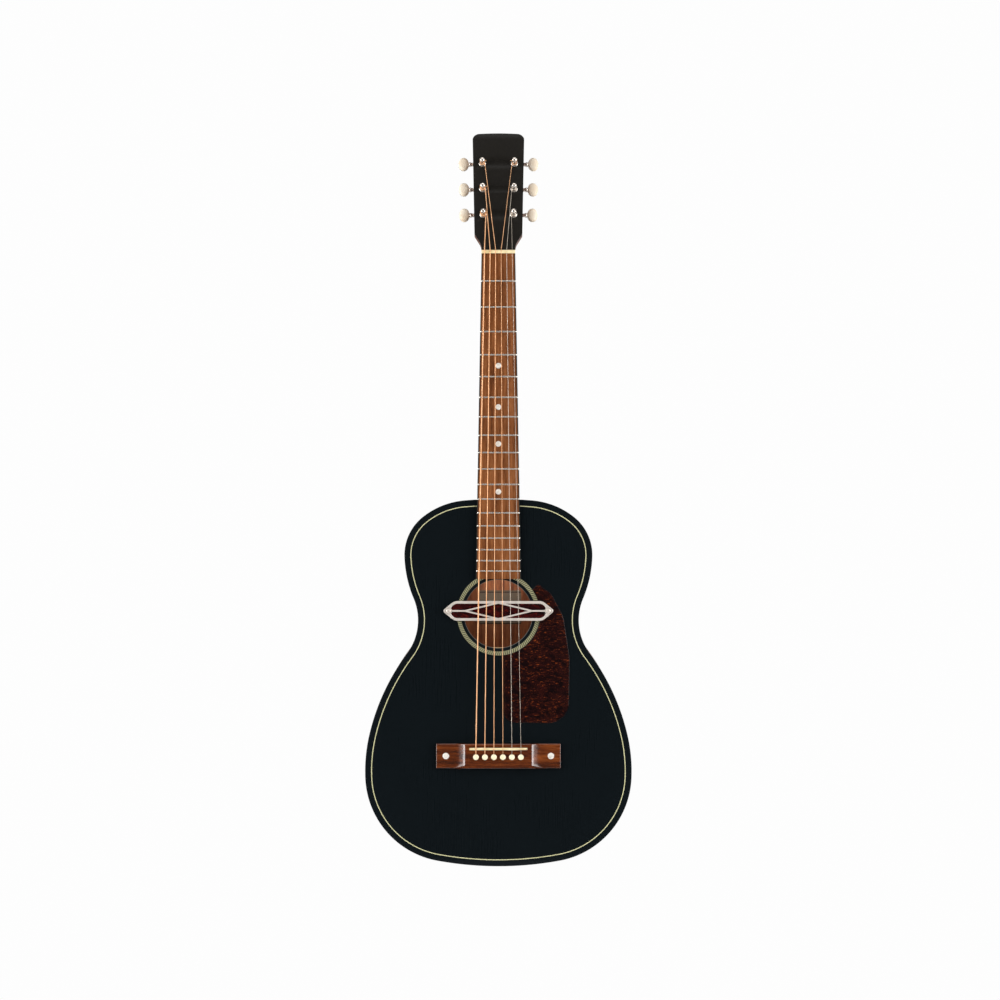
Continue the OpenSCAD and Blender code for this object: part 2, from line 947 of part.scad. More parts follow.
// Outward direction of the shaft of tuner k
function side_of(k) = k < 4 ? -1 : 1;

module tuner_plate() {
    lug_r = 3.2;
    difference() {
        union() {
            slab(0, plate_t) {
                translate([-6.6, -6]) square([13.2, worm_z + 9.6]);
                translate([-3.2, -10]) square([6.4, worm_z + 17]);
                translate([0, -10]) circle(r = 3.2, $fn = 48);
                translate([0, worm_z + 7]) circle(r = 3.2, $fn = 48);
            }
            for (x = [-lug_x - lug_t, lug_x]) {
                translate([x, 0, worm_z - lug_r]) cube([lug_t, gear_y, 2 * lug_r]);
                translate([x, gear_y, worm_z])
                    rotate([0, 90, 0])
                        cylinder(r = lug_r, h = lug_t, $fn = 48);
            }
        }
        rod_y(post_r + running_gap, -1, plate_t + 1);
        screw_places() rod_y(1.25, -1, plate_t + 1, 24);
        translate([-10, gear_y, worm_z])
            rotate([0, 90, 0])
                cylinder(r = core_r + running_gap, h = 20, $fn = 48);
    }
}

module tuner_plates() {
    color("#cfc6ba") for (k = [1:6]) tuner_frame(k) tuner_plate();
}

module tuner_screws() {
    color("#cfc6ba")
        for (k = [1:6])
            tuner_frame(k)
                screw_places()
                    difference() {
                        union() {
                            rod_y(1.15, -7.5, plate_t, 24);
                            rod_y(2.3, plate_t, plate_t + 1.2, 36);
                        }
                        translate([-3, plate_t + 0.7, -0.25]) cube([6, 1, 0.5]);
                    }
}

module post_bushings() {
    color("#cfc6ba")
        for (k = [1:6])
            tuner_frame(k)
                difference() {
                    union() {
                        rod_y(4.5, -face_h - bushing_t, -face_h);
                        rod_y(4, -face_h, -face_h + 6);
                    }
                    rod_y(post_r + running_gap, -face_h - 2, -face_h + 7);
                }
}

// A post: gear seat, shoulder, bearing, waisted winding part with its string hole, and domed tip
module post(k) {
    waist_r = post_r - 0.4;
    seat_y = gear_y - gear_t / 2;
    profile = [
        [0, -gear_y - gear_t / 2 - 1], [2.3, -gear_y - gear_t / 2 - 1], [2.3, -gear_y - gear_t / 2],
        [gear_bore, -gear_y - gear_t / 2], [gear_bore, -seat_y], [post_r, -seat_y],
        [post_r, face_h + bushing_t + 0.4], [waist_r, coil_h - 0.4], [waist_r, post_top - 3.4],
        [post_r, post_top - 2.8], [post_r, post_top - 0.8], [post_r - 0.8, post_top], [0, post_top]
    ];
    color("#cfc6ba")
        tuner_frame(k)
            difference() {
                rotate([90, 0, 0]) rotate_extrude($fn = 64) polygon(profile);
                translate([-5, -post_top + 4.6, 0])
                    rotate([0, 90, 0])
                        cylinder(r = 0.8, h = 10, $fn = 32);
            }
}

// A gear wheel with straight-sided teeth; a gap between teeth faces the worm
module gear(k) {
    root_r = gear_r - tooth_h - 0.15;
    tip_r = gear_r + tooth_h;
    pitch_angle = 360 / gear_teeth;
    outline = [for (i = [0:gear_teeth - 1], c = [[root_r, -9], [tip_r, -1.8], [tip_r, 1.8], [root_r, 9]])
        c[0] * normal((i + 0.5) * pitch_angle + c[1])];
    color("#c9a66b")
        tuner_frame(k)
            difference() {
                slab(gear_y - gear_t / 2, gear_y + gear_t / 2) polygon(outline);
                rod_y(gear_bore, 0, 10);
            }
}

// The worm's thread: a trapezoid swept along a right-hand helix about +X
module worm_thread() {
    per_turn = 12;
    steps = per_turn * thread_turns;
    crest = worm_r + tooth_h;
    root = core_r - 0.2;
    section = [[-0.6, root], [-0.14, crest], [0.14, crest], [0.6, root]];
    points = [for (i = [0:steps], c = section) let(
        turn = i / per_turn - thread_turns / 2,
        angle = 360 * turn - 90
    ) [turn * worm_pitch + c[0], c[1] * cos(angle), c[1] * sin(angle)]];
    walls = [for (i = [0:steps - 1], s = [0:3]) let(
        a = 4 * i + s,
        b = 4 * i + (s + 1) % 4
    ) [a, b, b + 4, a + 4]];
    ends = [[3, 2, 1, 0], [for (s = [0:3]) 4 * steps + s]];
    polyhedron(points = points, faces = concat(walls, ends), convexity = 10);
}

// The button's shaft: worm, journals in both lugs, stem and collar
module worm_shaft(k) {
    side = side_of(k);
    stem_x = lug_x + lug_t + 0.3;
    shaft_start = -stem_x - 0.6;
    button_edge = button_x - button_size[0] / 2;
    color("#cfc6ba")
        tuner_frame(k)
            translate([0, gear_y, worm_z]) {
                worm_thread();
                rotate([0, side * 90, 0]) {
                    translate([0, 0, shaft_start])
                        cylinder(r = core_r, h = button_x - shaft_start, $fn = 48);
                    translate([0, 0, stem_x])
                        cylinder(r = 2.3, h = button_edge - stem_x, $fn = 48);
                    translate([0, 0, button_edge - 2])
                        cylinder(r = 2.9, h = 1.8, $fn = 48);
                }
            }
}

// An oval button pressed on the end of its shaft
module knob(k) {
    color("#efe3cf")
        tuner_frame(k)
            translate([side_of(k) * button_x, gear_y, worm_z])
                difference() {
                    hull() scale(button_size / 2) sphere(r = 1, $fn = 28);
                    rotate([0, -side_of(k) * 90, 0]) cylinder(r = core_r, h = 10, $fn = 48);
                }
}

top();
back();
side_bass();
side_treble();
linings();
neck_block();
end_block();
top_braces();
back_braces();
rosette();
top_purfling();
pickguard();
label();
neck();
truss_rod();
truss_nut();
fretboard();
frets();
pearl_dots();
nut();
headstock_face();
bridge();
saddle();
bridge_pins();
bridge_bolts();
strings_wound();
strings_plain();
pickup_frame();
pickup_body();
pickup_coil();
pickup_screws();
pickup_lead();
end_jack();
tuner_plates();
tuner_screws();
post_bushings();
for (k = [1:6]) {
    knob(k);
    worm_shaft(k);
    post(k);
    gear(k);
}
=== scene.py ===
import math

import bmesh
import bpy
from mathutils import Matrix, Vector


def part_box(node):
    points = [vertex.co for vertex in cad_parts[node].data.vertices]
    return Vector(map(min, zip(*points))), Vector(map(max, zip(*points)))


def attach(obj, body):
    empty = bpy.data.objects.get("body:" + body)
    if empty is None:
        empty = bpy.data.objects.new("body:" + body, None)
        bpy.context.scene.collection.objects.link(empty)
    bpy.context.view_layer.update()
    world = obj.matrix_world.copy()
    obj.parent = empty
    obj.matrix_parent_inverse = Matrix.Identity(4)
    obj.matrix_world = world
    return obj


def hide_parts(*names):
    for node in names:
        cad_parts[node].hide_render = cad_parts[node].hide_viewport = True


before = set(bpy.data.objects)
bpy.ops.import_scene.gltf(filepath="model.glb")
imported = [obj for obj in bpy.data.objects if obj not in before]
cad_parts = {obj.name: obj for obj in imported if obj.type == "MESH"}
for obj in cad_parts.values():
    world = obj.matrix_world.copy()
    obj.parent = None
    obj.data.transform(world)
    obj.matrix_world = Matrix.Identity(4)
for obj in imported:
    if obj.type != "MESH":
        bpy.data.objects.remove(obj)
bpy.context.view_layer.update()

# Sizes are in millimetres, in the CAD frame: +Z up the neck, the soundboard facing -Y, +X the treble side.
MM = 0.001
ROOT = "guitar"


def box_mm(name):
    """Lowest and highest corner of a CAD node, in millimetres."""
    low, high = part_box(name)
    return low / MM, high / MM


top_low, top_high = box_mm("top")
nut_low, nut_high = box_mm("nut")
board_low, board_high = box_mm("fretboard")
bridge_low, bridge_high = box_mm("bridge")
pickup_low, pickup_high = box_mm("pickup_frame")
rosette_low, rosette_high = box_mm("rosette")
saddle_low, saddle_high = box_mm("saddle")

BODY_TOP = top_high.z
SCALE_LENGTH = -2 * BODY_TOP
TAIL_Z = top_low.z
TOP_T = top_high.y
NUT_W = nut_high.x - nut_low.x
NUT_L = nut_high.z
BOARD_END = board_low.z
BOARD_T = 6.0
BOARD_R = 305.0
BOARD_SPREAD = (board_high.x - board_low.x - NUT_W) / BOARD_END
HOLE_Z = (rosette_low.z + rosette_high.z) / 2
HOLE_R = 42.5
ROSETTE_OUT = rosette_high.x
ROSETTE_IN = ROSETTE_OUT - 4.8
OUTLINE_STEP = 2.5
SADDLE_Z = (saddle_low.z + saddle_high.z) / 2
SADDLE_W = saddle_high.x - saddle_low.x
BRIDGE_Z = (bridge_low.z + bridge_high.z) / 2
BRIDGE_W = bridge_high.x - bridge_low.x
BRIDGE_L = bridge_high.z - bridge_low.z
BRIDGE_T = -bridge_low.y
PIN_Z = BRIDGE_Z - 0.8
SADDLE_L = saddle_high.z - saddle_low.z
PICKUP_Z = (pickup_low.z + pickup_high.z) / 2
PICKUP_W = pickup_high.x - pickup_low.x
PICKUP_HALF_H = (pickup_high.z - pickup_low.z) / 2
SCREW_X = PICKUP_W / 2 - 6
DOT_X = 65.2
GUARD_T = 0.8
DEPTH_NECK, DEPTH_TAIL = 86.0, 100.0
JACK_Y = DEPTH_TAIL / 2
TAPER = math.atan((DEPTH_TAIL - DEPTH_NECK) / (BODY_TOP - TAIL_Z))
BACK_T, SIDE_T = 2.8, 2.2
PURFLING_INSET, PURFLING_W, INLAY_T = 7.5, 1.1, 1.0

HEAD_TILT = math.radians(14)
HEAD_T, VENEER_T, HEAD_LEN, HEAD_W, FLARE_W = 14.0, 2.0, 155.0, 64.8, 59.6
FLARE_Z, SCOOP_R, HEAD_CORNER_R, DOME_R = 21.0, 20.0, 8.0, 400.0
FACE_H = HEAD_T + VENEER_T
POST_X, POST_SPREAD, FIRST_POST, POST_PITCH = 18.9, 0.6, 46.5, 34.0
POST_R, BUSHING_R, BUSHING_T = 3.0, 4.0, 1.2
POST_TOP = FACE_H + BUSHING_T + 13.8
COIL_H = FACE_H + 3
STRING_HOLE_Y = 4.6 - POST_TOP
TEETH, GEAR_MODULE, GEAR_T, GEAR_Y, GEAR_BORE = 14, 0.6, 3.4, 4.3, 1.6
GEAR_R = TEETH * GEAR_MODULE / 2
WORM_R, CORE_R, TOOTH_H = 2.4, 1.65, 0.55
WORM_Z = GEAR_R + WORM_R
WORM_PITCH = math.pi * GEAR_MODULE
LUG_X, LUG_T, PLATE_T = 4.9, 1.3, 1.2
PLATE_SCREWS = (-10, WORM_Z + 7)
BUTTON_X, BUTTON_SIZE = 23.8, (13.4, 7.6, 17.6)
GAUGES = (1.35, 1.07, 0.81, 0.61, 0.41, 0.30)
WOUND = 4
STRINGS = range(1, 7)
NUT_SPREAD, SADDLE_SPREAD, ACTION, STRING_GAP = 34.4, 55.8, 2.2, 0.5
NUT_H, FRETS, CROWN_H = 7.9, 18, 1.0
WELD = 0.002

HEAD = Matrix.Translation((0, 0, NUT_L)) @ Matrix.Rotation(-HEAD_TILT, 4, "X")


# ---- Geometry helpers: shapes are (points, faces) in millimetres ----

def mix(a, b, t):
    return a + (b - a) * t


def smooth(t):
    t = min(max(t, 0.0), 1.0)
    return t * t * (3 - 2 * t)


def join(*shapes):
    """One shape from several."""
    points, faces = [], []
    for shape in shapes:
        start = len(points)
        points.extend(shape[0])
        faces.extend([tuple(i + start for i in face) for face in shape[1]])
    return points, faces


def moved(shape, matrix):
    return [tuple(matrix @ Vector(p)) for p in shape[0]], shape[1]


def at(x, y, z):
    return Matrix.Translation((x, y, z))


def turn(degrees, axis):
    return Matrix.Rotation(math.radians(degrees), 4, axis)


def out_of(x, y, z):
    """A place where a lathe shape stands out from the soundboard: its height runs along -Y."""
    return at(x, y, z) @ turn(90, "X")


def loft(rings, closed=False):
    """Closed rings of equal length joined in order."""
    count = len(rings[0])
    points = [tuple(p) for ring in rings for p in ring]
    faces = []
    pairs = len(rings) if closed else len(rings) - 1
    for i in range(pairs):
        a, b = i * count, ((i + 1) % len(rings)) * count
        for j in range(count):
            k = (j + 1) % count
            faces.append((a + j, a + k, b + k, b + j))
    if not closed:
        faces.append(tuple(reversed(range(count))))
        faces.append(tuple(range(len(points) - count, len(points))))
    return points, faces


def lathe(profile, segments=48):
    """A profile of (radius, height) turned about Z. A radius of 0 closes the end."""
    rings = []
    for r, h in profile:
        r = max(r, 1e-4)
        rings.append([(r * math.cos(a), r * math.sin(a), h)
                      for a in (2 * math.pi * s / segments for s in range(segments))])
    return loft(rings)


def ring_lathe(profile, segments=48):
    """A closed profile turned about Z, for a ring or a sleeve."""
    rings = [[(r * math.cos(a), r * math.sin(a), h) for r, h in profile]
             for a in (2 * math.pi * s / segments for s in range(segments))]
    return loft(rings, closed=True)


def rod(radius, low, high, segments=32):
    """A plain cylinder about Z."""
    return lathe([(0, low), (radius, low), (radius, high), (0, high)], segments)


def tube(route, radius, sides=10, hint=(1, 0, 0)):
    """A round tube along a route, with its seam kept straight."""
    route = [Vector(p) for p in route]
    rings = []
    across = Vector(hint)
    for i, p in enumerate(route):
        along = (route[min(i + 1, len(route) - 1)] - route[max(i - 1, 0)]).normalized()
        across = (across - along * across.dot(along)).normalized()
        up = along.cross(across)
        rings.append([p + radius * (math.cos(a) * across + math.sin(a) * up)
                      for a in (2 * math.pi * s / sides for s in range(sides))])
    return loft(rings)


def arc(cx, cz, r, start, end, steps):
    """Points on a circle from one angle to another, in degrees."""
    return [(cx + r * math.cos(math.radians(start + (end - start) * s / steps)),
             cz + r * math.sin(math.radians(start + (end - start) * s / steps))) for s in range(steps + 1)]


def circle(cx, cz, r, steps=96):
    return arc(cx, cz, r, 0, 360, steps)[:-1]


def hull(points):
    """Convex hull of 2D points, anticlockwise."""
    points = sorted(set(points))

    def chain(ordered):
        line = []
        for p in ordered:
            while len(line) > 1 and ((line[-1][0] - line[-2][0]) * (p[1] - line[-2][1])
                                     - (line[-1][1] - line[-2][1]) * (p[0] - line[-2][0])) <= 0:
                line.pop()
            line.append(p)
        return line[:-1]

    return chain(points) + chain(reversed(points))


def plate(loops, front, back, bevel, resolution=2):
    """A flat plate drawn as closed loops of (x, z), from y front to y back, with rounded edges."""
    curve = bpy.data.curves.new("plate", "CURVE")
    curve.dimensions = "2D"
    curve.fill_mode = "BOTH"
    curve.extrude = (back - front) / 2 - bevel
    curve.bevel_depth = bevel
    curve.bevel_resolution = resolution
    curve.offset = -bevel
    for loop in loops:
        spline = curve.splines.new("POLY")
        spline.points.add(len(loop) - 1)
        for point, (x, z) in zip(spline.points, loop):
            point.co = (x, z, 0, 1)
        spline.use_cyclic_u = True
    holder = bpy.data.objects.new("plate", curve)
    bpy.context.scene.collection.objects.link(holder)
    mesh = bpy.data.meshes.new_from_object(
        holder.evaluated_get(bpy.context.evaluated_depsgraph_get()))
    flat = [tuple(v.co) for v in mesh.vertices], [tuple(p.vertices) for p in mesh.polygons]
    bpy.data.objects.remove(holder)
    bpy.data.curves.remove(curve)
    bpy.data.meshes.remove(mesh)
    return moved(flat, out_of(0, (front + back) / 2, 0))


def rounded_box(size, r, steps=3):
    """A box centred on the origin with rounded upright edges and a soft rim."""
    x, y, z = (s / 2 for s in size)
    loop = []
    for cx, cy, start in ((x - r, y - r, 0), (r - x, y - r, 90), (r - x, r - y, 180), (x - r, r - y, 270)):
        loop += arc(cx, cy, r, start, start + 90, steps)
    soft = min(r, z) * 0.4
    rings = []
    for height, shrink in ((-z, soft), (-z + soft, 0), (z - soft, 0), (z, soft)):
        rings.append([(px * (1 - shrink / x), py * (1 - shrink / y), height) for px, py in loop])
    return loft(rings)


def piece(name, shape, material, body=ROOT, replaces=(), smooth=35, cutters=None):
    """Makes an object of a shape in millimetres, cuts it, and lets it ride on its CAD body."""
    mesh = bpy.data.meshes.new(name)
    mesh.from_pydata([(x * MM, y * MM, z * MM) for x, y, z in shape[0]], [], shape[1])
    work = bmesh.new()
    work.from_mesh(mesh)
    bmesh.ops.remove_doubles(work, verts=work.verts, dist=WELD * MM)
    bmesh.ops.recalc_face_normals(work, faces=work.faces)
    work.to_mesh(mesh)
    work.free()
    made = bpy.data.objects.new(name, mesh)
    bpy.context.scene.collection.objects.link(made)
    if cutters:
        tool = piece(name + "_cutter", cutters, None, body=None)
        cut = made.modifiers.new("cut", "BOOLEAN")
        cut.operation = "DIFFERENCE"
        cut.solver = "EXACT"
        cut.use_self = True
        cut.object = tool
        result = bpy.data.meshes.new_from_object(
            made.evaluated_get(bpy.context.evaluated_depsgraph_get()))
        made.modifiers.clear()
        made.data = result
        made.data.name = name
        bpy.data.objects.remove(tool)
        mesh = result
    mesh.shade_smooth()
    mesh.set_sharp_from_angle(angle=math.radians(smooth))
    if material is not None:
        mesh.materials.clear()
        mesh.materials.append(material)
    if body is None:
        return made
    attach(made, body)
    if replaces:
        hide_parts(*replaces)
    return made


# ---- Material helpers ----

def srgb(r, g, b):
    """A display colour, 0 to 255, as the linear colour that shaders use."""
    def linear(c):
        c /= 255
        return c / 12.92 if c <= 0.04045 else ((c + 0.055) / 1.055) ** 2.4
    return (linear(r), linear(g), linear(b), 1.0)


class Build:
    """A node material being put together, with one Principled shader."""

    def __init__(self, name, **shader):
        self.material = bpy.data.materials.new(name)
        self.material.use_nodes = True
        self.tree = self.material.node_tree
        self.shader = self.tree.nodes["Principled BSDF"]
        for key, value in shader.items():
            self.shader.inputs[key.replace("_", " ")].default_value = value
        self.place = self.add("ShaderNodeTexCoord").outputs["Object"]

    def add(self, kind, **inputs):
        made = self.tree.nodes.new(kind)
        for key, value in inputs.items():
            self.feed(made.inputs[key.replace("_", " ")], value)
        return made

    def feed(self, socket, value):
        if isinstance(value, bpy.types.NodeSocket):
            self.tree.links.new(value, socket)
        else:
            socket.default_value = value

    def math(self, operation, a, b=0.0):
        made = self.tree.nodes.new("ShaderNodeMath")
        made.operation = operation
        self.feed(made.inputs[0], a)
        self.feed(made.inputs[1], b)
        return made.outputs[0]

    def mix(self, factor, a, b):
        made = self.tree.nodes.new("ShaderNodeMix")
        made.data_type = "RGBA"
        self.feed(made.inputs[0], factor)
        self.feed(made.inputs[6], a)
        self.feed(made.inputs[7], b)
        return made.outputs[2]

    def stretch(self, x, y, z, turned=(0, 0, 0)):
        """Object coordinates scaled per axis."""
        return self.add("ShaderNodeMapping", Vector=self.place, Scale=(x, y, z), Rotation=turned).outputs[0]

    def noise(self, vector, scale, detail=4.0, roughness=0.55, distortion=0.0):
        return self.add("ShaderNodeTexNoise", Vector=vector, Scale=scale, Detail=detail,
                        Roughness=roughness, Distortion=distortion).outputs["Fac"]

    def band(self, value, low, high, to_low=0.0, to_high=1.0):
        """Maps low..high of a value to a new range, clamped."""
        made = self.add("ShaderNodeMapRange", From_Min=low, From_Max=high, To_Min=to_low, To_Max=to_high)
        self.feed(made.inputs["Value"], value)
        return made.outputs[0]

    def axes(self):
        split = self.add("ShaderNodeSeparateXYZ", Vector=self.place)
        return split.outputs

    def round_hole(self):
        """Distance from the sound hole's axis, and height above it."""
        axes = self.axes()
        rise = self.math("SUBTRACT", axes["Z"], HOLE_Z * MM)
        square = self.math("ADD", self.math("MULTIPLY", axes["X"], axes["X"]),
                           self.math("MULTIPLY", rise, rise))
        return self.math("SQRT", square), rise

    def blend(self, a, b, share=0.5):
        """Two 0 to 1 patterns added in the given share."""
        return self.math("ADD", self.math("MULTIPLY", a, 1 - share), self.math("MULTIPLY", b, share))

    def colour(self, socket):
        self.feed(self.shader.inputs["Base Color"], socket)

    def rough(self, value, low, high):
        """Roughness that varies between two values with a 0 to 1 pattern."""
        self.feed(self.shader.inputs["Roughness"], self.band(value, 0.0, 1.0, low, high))

    def bump(self, height, distance, strength=1.0):
        made = self.add("ShaderNodeBump", Strength=strength, Distance=distance, Height=height)
        self.feed(self.shader.inputs["Normal"], made.outputs[0])


def wood(name, dark, middle, light, along="z", pore=0.5, figure=(22.0, 0.25), rough=(0.38, 0.52),
         edge=None, depth=0.00006, **shader):
    """Wood grain that runs along one axis: broad figure, fine streaks and short dark pores."""
    b = Build(name, **shader)
    long, cross = 1.0, 14.0
    scales = {"x": (long, cross, cross), "y": (cross, long, cross), "z": (cross, cross, long)}[along]
    grain = b.stretch(*scales)
    broad = b.noise(grain, figure[0] * 0.35, 5, 0.6, figure[1])
    fine = b.noise(grain, figure[0] * 4.0, 6, 0.65, 0.1)
    tight = {"x": (0.12, 3.2, 3.2), "y": (3.2, 0.12, 3.2), "z": (3.2, 3.2, 0.12)}[along]
    pores = b.noise(b.stretch(*tight), 320.0, 3, 0.5)
    ramp = b.add("ShaderNodeValToRGB", Fac=b.blend(broad, fine, 0.38))
    stops = ramp.color_ramp.elements
    stops[0].position, stops[0].color = 0.36, dark
    stops[1].position, stops[1].color = 0.66, light
    mid = stops.new(0.5)
    mid.color = middle
    spots = b.band(pores, 0.58, 0.70)
    result = b.mix(b.math("MULTIPLY", spots, pore), ramp.outputs[0], dark)
    if edge is not None:
        result = edge(b, result)
    b.colour(result)
    b.rough(broad, *rough)
    b.bump(b.math("SUBTRACT", fine, b.math("MULTIPLY", spots, 0.6)), depth, 0.6)
    return b.material


def metal(name, colour, rough=(0.12, 0.24), brushed=None, dirt=None, **shader):
    """Metal with faint wear: a patchy tone, scratches in the roughness and a little grime."""
    b = Build(name, **{"Metallic": 1.0, **shader})
    wide = b.noise(b.place, 90.0, 5, 0.6)
    scratch = b.noise(b.stretch(*(brushed or (1, 1, 1))), 900.0, 4, 0.7)
    tone = b.mix(b.band(wide, 0.35, 0.7), colour, dirt or tuple(c * 0.8 for c in colour[:3]) + (1.0,))
    b.colour(tone)
    b.rough(b.blend(wide, scratch), *rough)
    b.bump(scratch, 0.00001, 0.25)
    return b.material


def plastic(name, colour, other, scale=60.0, rough=(0.22, 0.34), **shader):
    """Moulded or bone-like plastic with a slow change of tone and a finely uneven gloss."""
    b = Build(name, **shader)
    slow = b.noise(b.place, scale, 4, 0.6, 0.6)
    fine = b.noise(b.place, 1400.0, 3, 0.6)
    b.colour(b.mix(b.band(slow, 0.35, 0.65), colour, other))
    b.rough(b.blend(slow, fine, 0.4), *rough)
    b.bump(fine, 0.00001, 0.2)
    return b.material


# ---- Materials ----

def black_top():
    """Satin black paint over spruce: bare wood inside and a pale grey painted highlight on the sound hole's
    rounded edge.
    """
    b = Build("black_top_paint", Specular_IOR_Level=0.16)
    radius, _ = b.round_hole()
    grain = b.noise(b.stretch(26, 26, 0.5), 42.0, 5, 0.6, 0.1)
    cloud = b.noise(b.place, 9.0, 4, 0.55)
    paint = b.mix(cloud, srgb(9, 14, 17), srgb(12, 18, 21))
    # Painted highlight: a pale grey band on the sound hole's rounded edge, where light catches it.
    rim = b.band(radius, (HOLE_R + 0.55) * MM, (HOLE_R + 0.35) * MM)
    paint = b.mix(rim, paint, srgb(96, 98, 92))
    bare = b.mix(grain, srgb(176, 140, 96), srgb(208, 176, 128))
    b.colour(b.mix(b.band(b.axes()["Y"], 2.2 * MM, 2.4 * MM), paint, bare))
    b.rough(b.blend(grain, cloud), 0.24, 0.32)
    b.bump(grain, 0.00001, 0.2)
    return b.material


def black_face():
    b = Build("black_face_veneer", Specular_IOR_Level=0.18)
    grain = b.noise(b.stretch(20, 20, 0.8), 40.0, 5, 0.6, 0.1)
    b.colour(b.mix(grain, srgb(20, 18, 15), srgb(29, 26, 22)))
    b.rough(grain, 0.30, 0.40)
    b.bump(grain, 0.00003, 0.35)
    return b.material


def dark_edge(b, wood_colour):
    """A dark strip along both edges of the fretboard."""
    axes = b.axes()
    half = b.math("ADD", NUT_W / 2 * MM, b.math("MULTIPLY", axes["Z"], BOARD_SPREAD / 2))
    inside = b.math("SUBTRACT", half, b.math("ABSOLUTE", axes["X"]))
    return b.mix(b.band(inside, 1.55 * MM, 1.4 * MM), wood_colour, srgb(46, 40, 34))


def rope_inlay():
    """The rosette's short slanted strips, light and dark in turn, between two thin lines."""
    b = Build("rosette_strips", Specular_IOR_Level=0.3)
    radius, rise = b.round_hole()
    angle = b.math("ARCTAN2", rise, b.axes()["X"])
    slant = b.math("MULTIPLY", radius, 2 * math.pi / (7 * MM))
    strips = b.math("SINE", b.math("ADD", b.math("MULTIPLY", angle, 124.0), slant))
    tone = b.mix(b.band(strips, -0.15, 0.15), srgb(40, 40, 30), srgb(164, 161, 122))
    middle = b.math("ABSOLUTE", b.math("SUBTRACT", radius, (ROSETTE_IN + ROSETTE_OUT) / 2 * MM))
    b.colour(b.mix(b.band(middle, 2.0 * MM, 2.15 * MM), tone, srgb(140, 138, 106)))
    b.rough(b.noise(b.place, 500.0), 0.36, 0.5)
    return b.material


def tortoise(name, deep, red, fleck, turned, scale=1.0, amount=(0.60, 0.72)):
    """Celluloid tortoise: deep red-brown clouds with small slanted orange flecks."""
    b = Build(name, Specular_IOR_Level=0.3, Coat_Weight=0.15, Coat_Roughness=0.08)
    cloud = b.noise(b.stretch(1.0, 1.0, 2.0, turned), 42.0 * scale, 6, 0.6, 1.2)
    streak = b.noise(b.stretch(1.0, 1.0, 3.4, turned), 150.0 * scale, 5, 0.62, 0.8)
    base = b.mix(b.band(cloud, 0.38, 0.66), deep, red)
    flecks = b.math("MULTIPLY", b.band(streak, *amount), b.band(cloud, 0.40, 0.62))
    b.colour(b.mix(flecks, base, fleck))
    b.rough(cloud, 0.16, 0.26)
    b.bump(streak, 0.00001, 0.2)
    return b.material


def wound_wire(name, colour, shade, pitch):
    """A string wound with fine wire: ridges across it, by height along the string."""
    b = Build(name, Metallic=0.6, Specular_IOR_Level=0.5)
    axes = b.axes()
    ridge = b.math("SINE", b.math("MULTIPLY", axes["Z"], 2 * math.pi / (pitch * MM)))
    tone = b.noise(b.place, 60.0, 4, 0.6)
    b.colour(b.mix(b.band(tone, 0.35, 0.7), colour, shade))
    b.rough(tone, 0.30, 0.42)
    b.bump(ridge, 0.00005, 0.5)
    return b.material


def paper():
    """Tan label paper with plain printed rules and no lettering."""
    b = Build("label_paper", Roughness=0.8, Specular_IOR_Level=0.2)
    low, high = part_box("label")
    axes = b.axes()
    share = b.math("DIVIDE", b.math("SUBTRACT", axes["Z"], low.z), high.z - low.z)
    lines = b.math("SINE", b.math("MULTIPLY", share, 2 * math.pi * 14))
    at_ends = b.math("ADD", b.band(share, 0.30, 0.29), b.band(share, 0.9, 0.91))
    printed = b.math("MULTIPLY", b.band(lines, 0.0, 0.4), at_ends)
    fibres = b.noise(b.place, 900.0, 5, 0.6)
    base = b.mix(fibres, srgb(74, 64, 53), srgb(90, 78, 65))
    b.colour(b.mix(printed, base, srgb(44, 35, 28)))
    b.bump(fibres, 0.00003, 0.3)
    return b.material


def pearl():
    """Mother of pearl: pale clouds with a faint pink and green play."""
    b = Build("pearl", Specular_IOR_Level=0.6, Coat_Weight=0.4, Coat_Roughness=0.1)
    swirl = b.noise(b.place, 260.0, 4, 0.6, 2.0)
    play = b.noise(b.place, 520.0, 3, 0.5, 1.0)
    base = b.mix(b.band(swirl, 0.35, 0.65), srgb(208, 200, 190), srgb(240, 235, 226))
    b.colour(b.mix(b.band(play, 0.5, 0.75, 0.0, 0.35), base, srgb(214, 222, 206)))
    b.rough(swirl, 0.18, 0.3)
    return b.material


def coil_wire():
    b = Build("coil_wire", Metallic=0.9)
    axes = b.axes()
    turns = b.math("SINE", b.math("MULTIPLY", axes["Y"], 2 * math.pi / (0.25 * MM)))
    tone = b.noise(b.place, 300.0)
    b.colour(b.mix(tone, srgb(150, 84, 44), srgb(196, 118, 66)))
    b.rough(tone, 0.3, 0.45)
    b.bump(turns, 0.00004, 0.5)
    return b.material


BLACK_TOP = black_top()
BLACK_FACE = black_face()
SAPELE = wood("sapele_body", srgb(62, 30, 16), srgb(98, 54, 31), srgb(132, 80, 48), "z",
              figure=(30.0, 0.35), rough=(0.30, 0.42), Specular_IOR_Level=0.45)
NECK_WOOD = wood("sapele_neck", srgb(66, 34, 19), srgb(102, 58, 34), srgb(132, 82, 52), "z",
                 figure=(30.0, 0.3), rough=(0.36, 0.48), Specular_IOR_Level=0.4)
BOARD_WOOD = wood("walnut_fretboard", srgb(74, 38, 17), srgb(123, 72, 38), srgb(157, 99, 57), "z",
                  figure=(34.0, 0.2), rough=(0.34, 0.46), edge=dark_edge, Specular_IOR_Level=0.2)
BRIDGE_WOOD = wood("walnut_bridge", srgb(44, 15, 2), srgb(86, 35, 5), srgb(142, 72, 24), "x",
                   figure=(34.0, 0.25), rough=(0.24, 0.30), depth=0.00001, Specular_IOR_Level=0.35,
                   Coat_Weight=1.0, Coat_Roughness=0.2)
